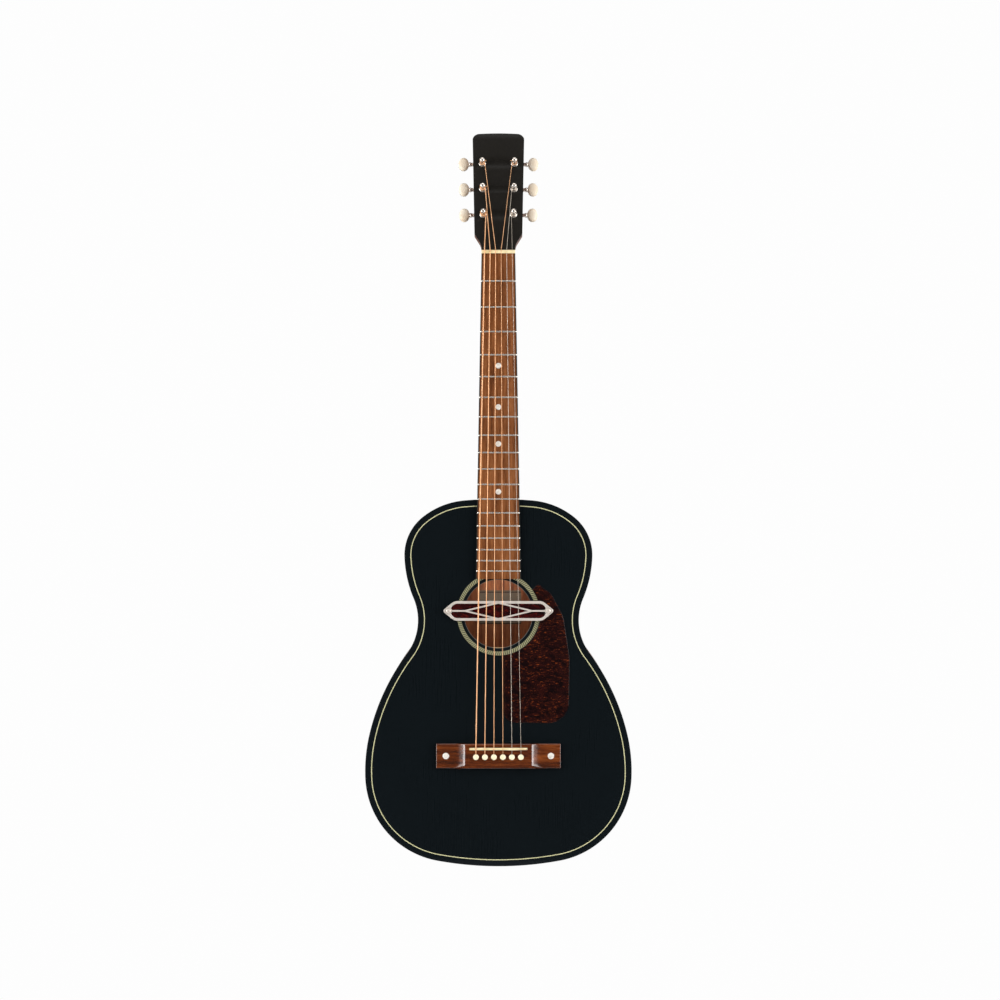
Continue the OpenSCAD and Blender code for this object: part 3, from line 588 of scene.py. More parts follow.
SPRUCE = wood("spruce_braces", srgb(170, 132, 88), srgb(198, 162, 112), srgb(218, 186, 138), "x",
              pore=0.2, rough=(0.6, 0.75), Specular_IOR_Level=0.3)
BLOCK_WOOD = wood("block_wood", srgb(120, 82, 48), srgb(156, 112, 70), srgb(182, 138, 92), "z",
                  pore=0.3, rough=(0.6, 0.75), Specular_IOR_Level=0.3)
INLAY = plastic("purfling_fibre", srgb(190, 187, 142), srgb(206, 202, 158), 300.0, (0.34, 0.46))
ROPE = rope_inlay()
GUARD = tortoise("pickguard_tortoise", srgb(14, 3, 4), srgb(40, 10, 7), srgb(150, 70, 24),
                 (0, math.radians(-18), 0), 1.4, (0.57, 0.70))
PANEL = tortoise("pickup_tortoise", srgb(22, 4, 6), srgb(64, 10, 8), srgb(150, 44, 20), (0, 0, 0), 1.6,
                 (0.58, 0.70))
NICKEL = metal("nickel", srgb(236, 226, 216), (0.16, 0.28), dirt=srgb(208, 196, 184), Metallic=0.8)
FRAME_NICKEL = metal("satin_nickel", srgb(240, 230, 220), (0.30, 0.42), dirt=srgb(228, 218, 208),
                     Metallic=0.5)
STEEL = metal("steel", srgb(190, 190, 188), (0.25, 0.4), (1, 1, 0.1))
BRASS = metal("gear_brass", srgb(206, 170, 104), (0.22, 0.38), dirt=srgb(170, 132, 76))
FRET_METAL = metal("fret_wire", srgb(222, 216, 206), (0.14, 0.26), (0.1, 1, 1))
PLAIN_STEEL = metal("plain_string", srgb(226, 214, 198), (0.36, 0.46), (1, 1, 0.1), Metallic=0.5)
BONE = plastic("nut_bone", srgb(224, 202, 150), srgb(240, 224, 180), 120.0, (0.28, 0.4),
               Subsurface_Weight=0.08, Subsurface_Scale=0.002)
PIN_PLASTIC = plastic("pin_plastic", srgb(240, 224, 184), srgb(250, 238, 206), 200.0, (0.2, 0.32))
BUTTON_PLASTIC = plastic("button_pearloid", srgb(240, 220, 192), srgb(250, 238, 218), 90.0, (0.3, 0.4),
                         Specular_IOR_Level=0.3)
RUBBER = plastic("lead_rubber", srgb(22, 22, 22), srgb(34, 34, 34), 200.0, (0.55, 0.7))
HOUSING = plastic("pickup_housing", srgb(20, 18, 17), srgb(30, 27, 25), 120.0, (0.4, 0.55))
PEARL = pearl()
PAPER = paper()
COPPER = coil_wire()
BRONZE = [wound_wire(f"wound_bronze_{k + 1}", srgb(240, 186, 140), srgb(224, 164, 116), pitch)
          for k, pitch in enumerate((0.84, 0.66, 0.50, 0.40))]


# ---- Body ----

# Radius and turn in degrees of each arc, from the neck round to the tail. The waist curves the other way.
SIDE_ARCS = ((522, 4.6), (96.2, 34), (60.4, 53.2), (145.5, 21.1), (-69.5, -59.5), (274, 23.3), (200, 15.9),
             (109, 77))


def half_outline(inset=0.0):
    """Points (x, z) from the neck round the treble side to the tail. The last arc closes the curve."""
    points = []
    heading, x, z = 0.0, 0.0, BODY_TOP
    for radius, degrees in (*SIDE_ARCS, (None, None)):
        swing = math.pi - heading if radius is None else math.radians(degrees)
        radius = x / math.sin(heading) if radius is None else radius
        cx, cz = x - radius * math.sin(heading), z - radius * math.cos(heading)
        steps = math.ceil(abs(radius * swing) / OUTLINE_STEP)
        for s in range(steps):
            a = heading + swing * s / steps
            points.append((cx + (radius - inset) * math.sin(a), cz + (radius - inset) * math.cos(a)))
        heading += swing
        x, z = cx + radius * math.sin(heading), cz + radius * math.cos(heading)
    points.append((0.0, z + inset))
    return points


def outline(inset=0.0):
    half = half_outline(inset)
    return half + [(-x, z) for x, z in reversed(half[1:-1])]


def back_y(z, inset=0.0):
    """Depth of a plane parallel to the back's outer face."""
    return DEPTH_NECK + (BODY_TOP - z) * math.tan(TAPER) - inset / math.cos(TAPER)


def pin_x(k):
    return SADDLE_SPREAD * (k - 3.5) / 5


def hole_ring(front, back, bevel, gap=0.0, steps=180):
    """The rosette's ring, smaller all round by a gap."""
    loops = [circle(0, HOLE_Z, ROSETTE_OUT - gap, steps), circle(0, HOLE_Z, ROSETTE_IN + gap, steps)]
    return plate(loops, front, back, bevel, 1)


def purfling_line(front, back, bevel, gap=0.0):
    loops = [outline(PURFLING_INSET + gap), outline(PURFLING_INSET + PURFLING_W - gap)]
    return plate(loops, front, back, bevel, 1)


def soundboard():
    pin_holes = [moved(rod(2.6, -1, 5, 24), at(pin_x(k), 0, PIN_Z) @ turn(-90, "X")) for k in STRINGS]
    channels = join(hole_ring(-1, INLAY_T, 0), purfling_line(-1, INLAY_T, 0), *pin_holes)
    piece("soundboard", plate([outline(), circle(0, HOLE_Z, HOLE_R, 180)], 0, TOP_T, 0.45), BLACK_TOP,
          replaces=["top"], cutters=channels)
    inlay = (-0.01, INLAY_T - 0.01, 0.04, 0.01)
    piece("rosette_ring", hole_ring(*inlay, 240), ROPE, replaces=["rosette"])
    piece("purfling_strip", purfling_line(*inlay), INLAY, replaces=["top_purfling"])


def back_plate():
    tilt = at(0, DEPTH_NECK, BODY_TOP) @ Matrix.Rotation(TAPER, 4, "X") @ at(0, 0, -BODY_TOP)
    longer = 1 / math.cos(TAPER)
    loop = [(x, BODY_TOP + (z - BODY_TOP) * longer) for x, z in outline()]
    piece("back_plate", moved(plate([loop], -BACK_T, 0, 0.9, 3), tilt), SAPELE,
          replaces=["back"])


def side(name, node, sign):
    """One bent side, from the soundboard to the sloping back."""
    rows = 6

    def column(x, z):
        return [(sign * x, mix(TOP_T, back_y(z, BACK_T), r / rows), z) for r in range(rows + 1)]

    rings = [column(*outer) + column(*inner)[::-1] for outer,
             inner in zip(half_outline(), half_outline(SIDE_T))]
    tenon = moved(rounded_box((24, 10, 68), 0.5), out_of(0, TOP_T + 33, BODY_TOP))
    jack = moved(rod(6.1, -20, 20, 48), at(0, JACK_Y, TAIL_Z))
    piece(name, loft(rings), SAPELE, replaces=[node], cutters=join(tenon, jack))


def pickguard():
    """A convex sheet with round corners, cut back to run round the rosette."""
    corners = ((49.5, 32, 4), (57, 17.5, 11), (48, -14.5, 34), (48.3, -57.5, 40), (61.5, -109.8, 26),
               (22, -118, 17), (9, -22, 4))
    sheet = hull([p for x, z, r in corners for p in circle(x, HOLE_Z + z, r, 120)])
    clear = ROSETTE_OUT + 0.6

    def outside(p):
        return math.hypot(p[0], p[1] - HOLE_Z) > clear

    start = next(i for i in range(len(sheet)) if outside(sheet[i]) and not outside(sheet[i - 1]))
    kept = []
    for i in range(len(sheet)):
        p = sheet[(start + i) % len(sheet)]
        if not outside(p):
            break
        kept.append(p)

    def crossing(a, b):
        """The point of the segment a to b that lies on the clearance circle."""
        for _ in range(40):
            m = ((a[0] + b[0]) / 2, (a[1] + b[1]) / 2)
            a, b = (m, b) if outside(m) == outside(a) else (a, m)
        return a

    enter = crossing(kept[-1], sheet[(start + len(kept)) % len(sheet)])
    leave = crossing(kept[0], sheet[start - 1])
    a0 = math.degrees(math.atan2(enter[1] - HOLE_Z, enter[0]))
    a1 = math.degrees(math.atan2(leave[1] - HOLE_Z, leave[0]))
    dense = []
    for a, b in zip(kept, kept[1:]):
        steps = max(1, math.ceil(math.dist(a, b) / 3))
        dense += [(a[0] + (b[0] - a[0]) * s / steps, a[1] + (b[1] - a[1]) * s / steps) for s in range(steps)]
    loop = dense + [kept[-1]] + arc(0, HOLE_Z, clear, a0, a1, 40)
    screw_hole = circle(SCREW_X, PICKUP_Z, 1.7, 24)
    piece("pickguard_sheet", plate([loop, screw_hole], -GUARD_T, 0, 0.3), GUARD,
          replaces=["pickguard"])


# ---- Neck and fretboard ----

def board_half(z):
    """Half the fretboard's width at a height."""
    return (NUT_W + BOARD_SPREAD * min(z, 0)) / 2


# The flare's edge is an arc round (FLARE_X, 1) that turns by FLARE_TURN, then runs straight to its corner.
FLARE_X = NUT_W / 2 + SCOOP_R
CORNER_REACH = math.dist((FLARE_X, 1), (FLARE_W / 2, FLARE_Z))
FLARE_TURN = (math.pi - math.atan2(FLARE_Z - 1, FLARE_W / 2 - FLARE_X)
              - math.acos(SCOOP_R / CORNER_REACH))


def head_half(z):
    """Half the headstock's width at a height along it: a scooped flare, straight sides and round corners."""
    if z < FLARE_Z:
        rise = max(z - 1, 0)
        touch = SCOOP_R * math.sin(FLARE_TURN)
        if rise <= touch:
            return FLARE_X - math.sqrt(SCOOP_R ** 2 - rise ** 2)
        return FLARE_X - SCOOP_R * math.cos(FLARE_TURN) + (rise - touch) * math.tan(FLARE_TURN)
    straight = mix(FLARE_W / 2, HEAD_W / 2, (z - FLARE_Z) / (HEAD_LEN - HEAD_CORNER_R - FLARE_Z))
    over = z - (HEAD_LEN - HEAD_CORNER_R)
    if over <= 0:
        return straight
    return HEAD_W / 2 - HEAD_CORNER_R + math.sqrt(max(HEAD_CORNER_R ** 2 - over ** 2, 0))


def section(half, depth, power, taper=0.0, limit=math.inf):
    """A neck's cross-section as (x, y): flat in front, rounded behind, narrower towards its depth."""
    steps = 28
    points = [(half * (1 - 2 * s / 6), 0.0) for s in range(1, 6)]
    for s in range(steps + 1):
        a = math.pi * (1 - s / steps)
        x = abs(math.cos(a)) ** (2 / power) * (1 if math.cos(a) > 0 else -1)
        y = min(depth * abs(math.sin(a)) ** (2 / power), limit)
        points.append((x * (half - taper * y), y))
    return points


HEEL_LIMIT = DEPTH_NECK - 4
STRAIGHT_STATIONS = range(25, 136, 10)


def neck_rings():
    rings = []
    root_z = BODY_TOP + 0.02
    shaft = [root_z + 62 * (s / 30) ** 1.4 for s in range(31)]
    for z in shaft:
        far = (z - root_z) / 62
        rise = (1 - far) ** 3.4
        depth = mix(17.2, 150, rise)
        deep = min(depth, HEEL_LIMIT)
        half = mix(26.2, board_half(z), smooth(far * 1.6))
        rings.append([(x, y, z) for x, y in
                      section(half, depth, 2.05, taper=0.15 * smooth((deep - 18) / 30), limit=HEEL_LIMIT)])
    start = shaft[-1]
    for s in range(1, 13):
        z = mix(start, -26, s / 12)
        rings.append([(x, y, z) for x, y in section(board_half(z), mix(17.2, 14.6, s / 12), 2.05)])
    bend = 16
    for s in range(1, bend + 1):
        t = s / bend
        along = mix(-26, 14, t)
        lean = Matrix.Rotation(-HEAD_TILT * smooth((along + 12) / 17), 4, "X")
        half = board_half(along) if along < NUT_L else head_half(along - NUT_L)
        depth = mix(14.6, HEAD_T, smooth(t)) + 1.6 * math.exp(-((along - 1) / 9) ** 2)
        origin = Vector((0, 0, min(along, NUT_L)))
        if along > NUT_L:
            origin += HEAD.to_3x3() @ Vector((0, 0, along - NUT_L))
        rings.append([tuple(origin + lean @ Vector((x, y, 0)))
                      for x, y in section(half, depth, mix(2.05, 9, smooth(t * 1.15 - 0.1)))])
    stations = [10.5, 12, 14, 16, 18, 19.5, FLARE_Z - 0.05, FLARE_Z + 0.6, *STRAIGHT_STATIONS]
    stations += [HEAD_LEN - HEAD_CORNER_R * (1 - math.sin(math.radians(a))) for a in range(0, 91, 10)]
    for z in stations:
        late = smooth((z - (HEAD_LEN - 12)) / 12)
        rings.append([tuple(HEAD @ Vector((x, y, z - late * x * x / (2 * DOME_R))))
                      for x, y in section(head_half(z), HEAD_T, 9)])
    return rings


def post_place(k):
    row = k - 1 if k < 4 else 6 - k
    return side_of(k) * (POST_X + POST_SPREAD * row), FIRST_POST + POST_PITCH * row


def side_of(k):
    return -1 if k < 4 else 1


def tuner(k):
    """Origin on post k at the headstock's back face, +Y pointing backwards."""
    x, z = post_place(k)
    return HEAD @ at(x, HEAD_T, z)


def along_y(shape, matrix):
    """Stands a lathe shape on the tuner frame's -Y axis: height becomes distance in front."""
    return moved(shape, matrix @ turn(90, "X"))


def neck():
    bores = join(*[along_y(rod(BUSHING_R + 0.05, -2, 30, 40), tuner(k)) for k in STRINGS])
    piece("neck_carved", loft(neck_rings()), NECK_WOOD, replaces=["neck"], smooth=30,
          cutters=bores)
    tenon = moved(rounded_box((23.8, 22, 66), 1.0), out_of(0, TOP_T + 33.5, BODY_TOP - 10.8))
    piece("neck_tenon", tenon, NECK_WOOD)


def head_outline():
    stations = [0.6, 1, 3.5, 6, 8.5, 11, 14, 17, 19.5, FLARE_Z - 0.01, FLARE_Z + 0.6, *STRAIGHT_STATIONS]
    right = [(head_half(z), z) for z in stations]
    for a in range(0, 91, 9):
        z = HEAD_LEN - HEAD_CORNER_R * (1 - math.sin(math.radians(a)))
        right.append((head_half(z), z - smooth((z - HEAD_LEN + 12) / 12) * head_half(z) ** 2 / (2 * DOME_R)))
    last = right[-1][0]
    top = [(x, HEAD_LEN - x * x / (2 * DOME_R)) for x in (last * (1 - 2 * s / 12) for s in range(1, 12))]
    return right + top + [(-x, z) for x, z in reversed(right)]


def headstock_face():
    holes = [circle(*post_place(k), BUSHING_R + 0.02, 40) for k in STRINGS]
    piece("headstock_veneer", moved(plate([head_outline()] + holes, -VENEER_T, 0, 0.25), HEAD), BLACK_FACE,
          replaces=["headstock_face"])


def arch_drop(x):
    """How far the fretboard's arch has fallen at a distance from its middle."""
    return BOARD_R - math.sqrt(BOARD_R ** 2 - x * x)


def fret_z(n):
    return -SCALE_LENGTH * (1 - 2 ** (-n / 12))


def fretboard():
    def ring(z, shrink):
        half = board_half(z) - shrink
        roll = 0.5
        points = [(-half, -shrink, z), (-half, -BOARD_T + arch_drop(half) + roll, z)]
        points += [(x, -BOARD_T + arch_drop(x) + shrink, z)
                   for x in ((half - roll * 0.6) * (-1 + 2 * s / 26) for s in range(27))]
        points += [(half, -BOARD_T + arch_drop(half) + roll, z), (half, -shrink, z)]
        return points

    rings = [ring(-0.02, 0)] + [ring(BOARD_END * s / 24, 0) for s in range(1, 24)]
    rings += [ring(BOARD_END + 0.5, 0), ring(BOARD_END + 0.12, 0.12), ring(BOARD_END, 0.4)]
    rests = join(*[moved(rod(3.52, 0, 4, 48), out_of(0, -BOARD_T + 1.5, z)) for z in dot_places()])
    piece("fretboard_arched", loft(rings), BOARD_WOOD, replaces=["fretboard"], cutters=rests)


def dot_places():
    return [(fret_z(n) + fret_z(n - 1)) / 2 for n in (5, 7, 9, 12)]


def dots():
    def disc(radius, rise):
        return lathe([(0, -1.4), (radius - 0.1, -1.4), (radius, -1.3), (radius, rise - 0.08),
                      (radius - 0.12, rise), (0, rise + 0.02)], 48)

    board = [moved(disc(3.5, 0.02), out_of(0, -BOARD_T, z)) for z in dot_places()]
    wings = [moved(disc(4.0, 0.03), out_of(s * DOT_X, -WING_T, BRIDGE_Z)) for s in (-1, 1)]
    piece("pearl_inlays", join(*board, *wings), PEARL, replaces=["pearl_dots"])


def frets():
    """Each fret is a rounded crown that follows the arch, with bevelled ends and a tang in the board."""
    made = []
    for n in range(1, FRETS + 1):
        z, half = fret_z(n), board_half(fret_z(n)) + 0.05
        rings = []
        for share in (-1, -0.985, -0.965, -0.94, *[s / 8 for s in range(-7, 8)], 0.94, 0.965, 0.985, 1):
            x = share * half
            rise = {1: 0.12, 0.985: 0.55, 0.965: 0.88}.get(abs(share), 1.0)
            base = -BOARD_T + arch_drop(x) + 0.12
            rings.append([(x, base - (CROWN_H + 0.12) * rise * math.sin(math.radians(a)),
                           z + math.cos(math.radians(a))) for a in range(0, 181, 15)])
        tang = [(half * s, -BOARD_T + deep, z + w) for s in (-0.99, 0.99)
                for deep, w in ((2, -0.25), (2, 0.25), (0.95, 0.25), (0.95, -0.25))]
        made += [loft(rings), loft([tang[:4], tang[4:]])]
    piece("fret_wires", join(*made), FRET_METAL, replaces=["frets"], smooth=50)


def string_x(k, spread):
    return spread * (k - 3.5) / 5


def nut_y(k):
    return -BOARD_T - CROWN_H + arch_drop(string_x(k, NUT_SPREAD)) - STRING_GAP - GAUGES[k - 1] / 2


def saddle_top(x):
    return -BOARD_T - CROWN_H + arch_drop(x) - 2 * ACTION + STRING_GAP


def saddle_y(k):
    return saddle_top(string_x(k, SADDLE_SPREAD)) - GAUGES[k - 1] / 2


def nut():
    half = NUT_W / 2
    rings = []
    for share in (-1, -0.985, -0.9, *[s / 10 for s in range(-8, 9)], 0.9, 0.985, 1):
        x = share * half
        inset = 0.35 if abs(share) == 1 else 0.0
        crest = -NUT_H + arch_drop(x) + inset
        rings.append([(x, y, z) for y, z in (
            (-inset, inset), (crest + 0.5, inset), (crest + 0.12, 0.2 + inset), (crest, 0.7 + inset),
            (crest + 0.5, NUT_L - 1.2), (crest + 0.9, NUT_L - 0.4 - inset), (crest + 1.5, NUT_L - inset),
            (-inset, NUT_L - inset))])
    slots = []
    for k in STRINGS:
        r = GAUGES[k - 1] / 2 + 0.05
        x, y = string_x(k, NUT_SPREAD), nut_y(k)
        loop = [(x + r * math.cos(a), y + r * math.sin(a)) for a in (math.pi * s / 10 for s in range(11))]
        loop += [(x - r, y - 4), (x + r, y - 4)]
        slots.append(loft([[(px, py, z) for px, py in loop] for z in (-1, NUT_L + 1)]))
    piece("nut_slotted", loft(rings), BONE, replaces=["nut"], smooth=40, cutters=join(*slots))


# ---- Bridge ----

WING_T, SCOOP_X, SCOOP_DRUM_R = 4.5, 54.8, 22.0
SCOOP_REACH = math.sqrt(SCOOP_DRUM_R ** 2 - (SCOOP_DRUM_R - BRIDGE_T + WING_T) ** 2)


def scoop_start(z):
    """Where the hollow starts to rise from the wing. It swings outwards close to the tail side."""
    near = min(max((z + BRIDGE_L / 2) / 5.4, 0.0), 1.0)
    return SCOOP_X + 8.0 * (1 - math.sqrt(1 - (1 - near) ** 2))


def bridge_height(x, z):
    """Height of the bridge: a flat middle that falls through a hollow to each thin wing."""
    reach = min(max(scoop_start(z) - abs(x), 0.0), SCOOP_REACH)
    return WING_T + SCOOP_DRUM_R - math.sqrt(SCOOP_DRUM_R ** 2 - reach ** 2)


def bridge_row(z):
    """Places across the bridge that follow the hollows, so that their crests stay crisp."""
    start, end = scoop_start(z), BRIDGE_W / 2
    row = [end - d for d in (0, 0.15, 0.5, 1.2)] + [mix(end - 1.2, start, s / 6) for s in range(1, 7)]
    row += [start - SCOOP_REACH * s / 26 for s in range(1, 27)]
    row += [(start - SCOOP_REACH) * (1 - s / 10) for s in range(1, 11)]
    return [-x for x in row] + row[-2::-1]


def bridge():
    half_w, half_l = BRIDGE_W / 2, BRIDGE_L / 2
    zs = [-half_l, -half_l + 0.15, -half_l + 0.5] + [-14.3 + 0.55 * s for s in range(12)]
    zs += [-7.5 + 1.5 * s for s in range(15)] + [half_l - 0.5, half_l - 0.15, half_l]
    zs = sorted(set(round(z, 3) for z in zs))
    points, faces = [], []
    for z in zs:
        for x in bridge_row(z):
            from_edge = min(half_w - abs(x), half_l - abs(z))
            drop = 0.45 * (1 - min(from_edge / 0.5, 1.0)) ** 2
            points.append((x, -bridge_height(x, z) + drop, BRIDGE_Z + z))
    wide, tall = len(bridge_row(0)), len(zs)
    for j in range(tall - 1):
        for i in range(wide - 1):
            a = j * wide + i
            faces.append((a, a + 1, a + wide + 1, a + wide))
    border = [*range(wide)] + [j * wide + wide - 1 for j in range(1, tall)]
    border += [(tall - 1) * wide + i for i in range(wide - 2, -1, -1)]
    border += [j * wide for j in range(tall - 2, 0, -1)]
    base = len(points)
    points += [(points[i][0], 0.0, points[i][2]) for i in border]
    for s, i in enumerate(border):
        t = (s + 1) % len(border)
        faces.append((i, base + s, base + t, border[t]))
    faces.append(tuple(base + s for s in range(len(border))))
    holes = [moved(rod(2.65, -20, 20), out_of(pin_x(k), 0, PIN_Z)) for k in STRINGS]
    slot = moved(rounded_box((SADDLE_W + 0.05, SADDLE_L + 0.05, 12), 0.4), out_of(0, -BRIDGE_T - 1, SADDLE_Z))
    rests = [moved(rod(4.02, 0, 8, 48), out_of(s * DOT_X, -3.1, BRIDGE_Z)) for s in (-1, 1)]
    notches = [moved(rounded_box((1.7, 4, 4), 0.3), at(pin_x(k), -BRIDGE_T, PIN_Z + 2.6)) for k in STRINGS]
    piece("bridge_carved", (points, faces), BRIDGE_WOOD, replaces=["bridge"], smooth=30,
          cutters=join(*holes, slot, *rests, *notches))


def saddle():
    """A bone strip with a rounded top whose crest wanders to tune each string."""
    half, thick = SADDLE_W / 2, SADDLE_L / 2
    crest_at = ((-40, -0.6), (12, 0.4), (13.5, -0.8), (20.5, -0.6), (22, 0.6), (40, 0.7))

    def crest(x):
        for (x0, c0), (x1, c1) in zip(crest_at, crest_at[1:]):
            if x <= x1:
                return mix(c0, c1, (x - x0) / (x1 - x0))
        return crest_at[-1][1]

    xs = [-half, -half + 0.3, -half + 1] + [-34 + s for s in range(69)] + [half - 1, half - 0.3, half]
    rings = []
    for x in xs:
        end = 0.6 * (1 - min((half - abs(x)) / 1.0, 1)) ** 2
        c = crest(x)
        top = saddle_top(x) + end
        ring = [(x, -BRIDGE_T + 4.8, SADDLE_Z - thick + end * 0.4)]
        for s in range(9):
            z = thick * (s / 4 - 1)
            fall = 0.8 * (abs(z - c) / (thick + abs(c))) ** 2.2
            ring.append((x, top + fall, SADDLE_Z + z * (1 - end * 0.2)))
        ring.append((x, -BRIDGE_T + 4.8, SADDLE_Z + thick - end * 0.4))
        rings.append(ring)
    piece("saddle_strip", loft(rings), BONE, replaces=["saddle"], smooth=50)


def pins():
    profile = [(0, -9.8), (2.1, -9.8), (2.15, -9), (2.5, 9.8), (3.0, 10.3), (3.45, 10.75), (3.6, 11.3),
               (3.52, 11.9), (3.15, 12.5), (2.45, 13.0), (1.45, 13.3), (0, 13.4)]
    made = [moved(lathe(profile, 40), out_of(pin_x(k), 0, PIN_Z)) for k in STRINGS]
    flutes = [moved(rounded_box((1.6, 22, 2.2), 0.6), at(pin_x(k), 0.8, PIN_Z + 2.3)) for k in STRINGS]
    piece("pin_set", join(*made), PIN_PLASTIC, replaces=["bridge_pins"], smooth=45,
          cutters=join(*flutes))


# ---- Strings ----

def wrap_r(k):
    return POST_R - 0.4 + GAUGES[k - 1] / 2


def curve_through(points, steps):
    """A smooth route through every point."""
    route = []
    last = len(points) - 1
    for i in range(last):
        a, b, c, d = (Vector(points[j]) for j in (max(i - 1, 0), i, i + 1, min(i + 2, last)))
        for s in range(steps):
            t = s / steps
            route.append(0.5 * (2 * b + (c - a) * t + (2 * a - 5 * b + 4 * c - d) * t * t
                                + (3 * b - a - 3 * c + d) * t ** 3))
    return route + [Vector(points[last])]


def string(k):
    """String k from its ball end to its post, and its turns and tail, which go with the post."""
    gauge = GAUGES[k - 1]
    x = string_x(k, SADDLE_SPREAD)
    low = curve_through([(x, 7.6, PIN_Z + 4.4), (x, 6.2, PIN_Z + 2.4), (x, 4, PIN_Z + 1.75),
                         (x, -BRIDGE_T + 2.2, PIN_Z + 1.75), (x, -BRIDGE_T + 0.4, PIN_Z + 2.6)], 5)
    saddle_point = Vector((x, saddle_y(k), SADDLE_Z))
    nut_point = Vector((string_x(k, NUT_SPREAD), nut_y(k), 0))
    over = [mix(low[-1], saddle_point, 0.92), saddle_point, mix(saddle_point, nut_point, 0.004)]
    past = nut_point + Vector((0, 0.05, NUT_L))
    reach = tuner(k) @ Vector((-side_of(k) * wrap_r(k), -COIL_H - gauge / 2, 0))
    rise = [mix(past, reach, t) for t in (0.02, 0.5, 1.0)]
    wire = tube(low + over + [mix(saddle_point, nut_point, t) for t in (0.25, 0.5, 0.75, 0.996)]
                + [nut_point, past] + rise, gauge / 2, 12)
    spool = [(0, -1.8), (1.7, -1.8), (2, -1.5), (2, -0.6), (1.6, 0), (2, 0.6), (2, 1.5), (1.7, 1.8), (0, 1.8)]
    ball = moved(lathe(spool, 28), at(x, 7.6, PIN_Z + 4.9) @ turn(90, "Y"))
    wound = k <= WOUND
    material = BRONZE[k - 1] if wound else PLAIN_STEEL
    made = piece(f"string_{k}", wire, material, smooth=60)
    piece(f"string_ball_{k}", ball, BRASS)

    turns = 3.25 if wound else 4.25
    start = 180 if side_of(k) > 0 else 0
    around = -1 if side_of(k) > 0 else 1
    helix = []
    per_turn = 36
    for s in range(int(turns * per_turn) + 1):
        done = s / per_turn
        angle = math.radians(start + around * (360 * done - 40))
        lift = max(done - 1.15, 0.0) * gauge * 1.02
        helix.append((wrap_r(k) * math.cos(angle), -COIL_H - gauge / 2 - lift, wrap_r(k) * math.sin(angle)))
    end = Vector(helix[-1])
    toward = Vector((math.cos(angle), 0, math.sin(angle)))
    tail = [end, mix(end, Vector((toward.x * 3.1, STRING_HOLE_Y, toward.z * 3.1)), 0.6) + toward * 0.4,
            Vector((-side_of(k) * -3.3, STRING_HOLE_Y, 0.3)), Vector((side_of(k) * 2.0, STRING_HOLE_Y, 0)),
            Vector((-side_of(k) * 3.0, STRING_HOLE_Y, 0)),
            Vector((-side_of(k) * 5.2, STRING_HOLE_Y + 0.4, -0.5))]
    route = [Vector(p) for p in helix[:-1]] + curve_through(tail, 6)
    wraps = tube(route, min(gauge / 2, 0.66), 10, (0, 1, 0))
    return made, moved(wraps, tuner(k)), material


def strings():
    wound, plain = [], []
    for k in STRINGS:
        made, wraps, material = string(k)
        piece(f"string_turns_{k}", wraps, material, body=f"tuner_post_{k}",
              smooth=60)
        (wound if k <= WOUND else plain).append(made)
    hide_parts("strings_wound")
    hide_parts("strings_plain")


# ---- Pickup and output ----

FRAME_RIM, FORK_X, STRUT, SHOULDER_L, TIP_R, BOSS_R = 3.2, 41.5, 2.0, 17.5, 3.0, 4.4
FRAME_FRONT, PANEL_FRONT, PANEL_BACK = -4.8, -3.0, -1.6


def tapered_loop(grow=0.0):
    """Outline of a bar with round shoulders that taper to small round tips."""
    points = []
    for s in (-1, 1):
        points += circle(s * (PICKUP_W / 2 - SHOULDER_L), 0, PICKUP_HALF_H + grow, 120)
        points += circle(s * (PICKUP_W / 2 - TIP_R), 0, TIP_R + grow, 48)
    return hull(points)


def pickup_windows():
    """Openings of the lattice: a long rhombus, and four curved ones between it and the rim."""
    window_h = PICKUP_HALF_H - FRAME_RIM
    shoulder = PICKUP_W / 2 - SHOULDER_L
    reach = window_h + 1.0
    slope = reach / FORK_X
    across = STRUT / 2 * math.sqrt(1 + slope * slope)
    inner_tip = FORK_X - across / slope
    peak = reach - across
    windows = [[(inner_tip, 0), (0, peak), (-inner_tip, 0), (0, -peak)]]
    apart = SCREW_X - shoulder
    along = (window_h ** 2 - BOSS_R ** 2 + apart ** 2) / (2 * apart)
    up = math.sqrt(window_h ** 2 - along ** 2)
    rim_end = math.degrees(math.atan2(up, along))
    boss_start = math.degrees(math.atan2(up, along - apart))
    boss_end = 180 - math.degrees(math.asin(STRUT / 2 / BOSS_R))
    for sx in (-1, 1):
        for sz in (-1, 1):
            meet = (reach + across - window_h) / slope
            fork = (reach + across - STRUT / 2) / slope
            loop = [(meet, window_h)] + arc(shoulder, 0, window_h, 90, rim_end, 20)
            loop += arc(SCREW_X, 0, BOSS_R, boss_start, boss_end, 8) + [(fork, STRUT / 2)]
            windows.append([(sx * x, sz * z) for x, z in loop])
    return windows


def raised(loops):
    return [[(x, PICKUP_Z + z) for x, z in loop] for loop in loops]


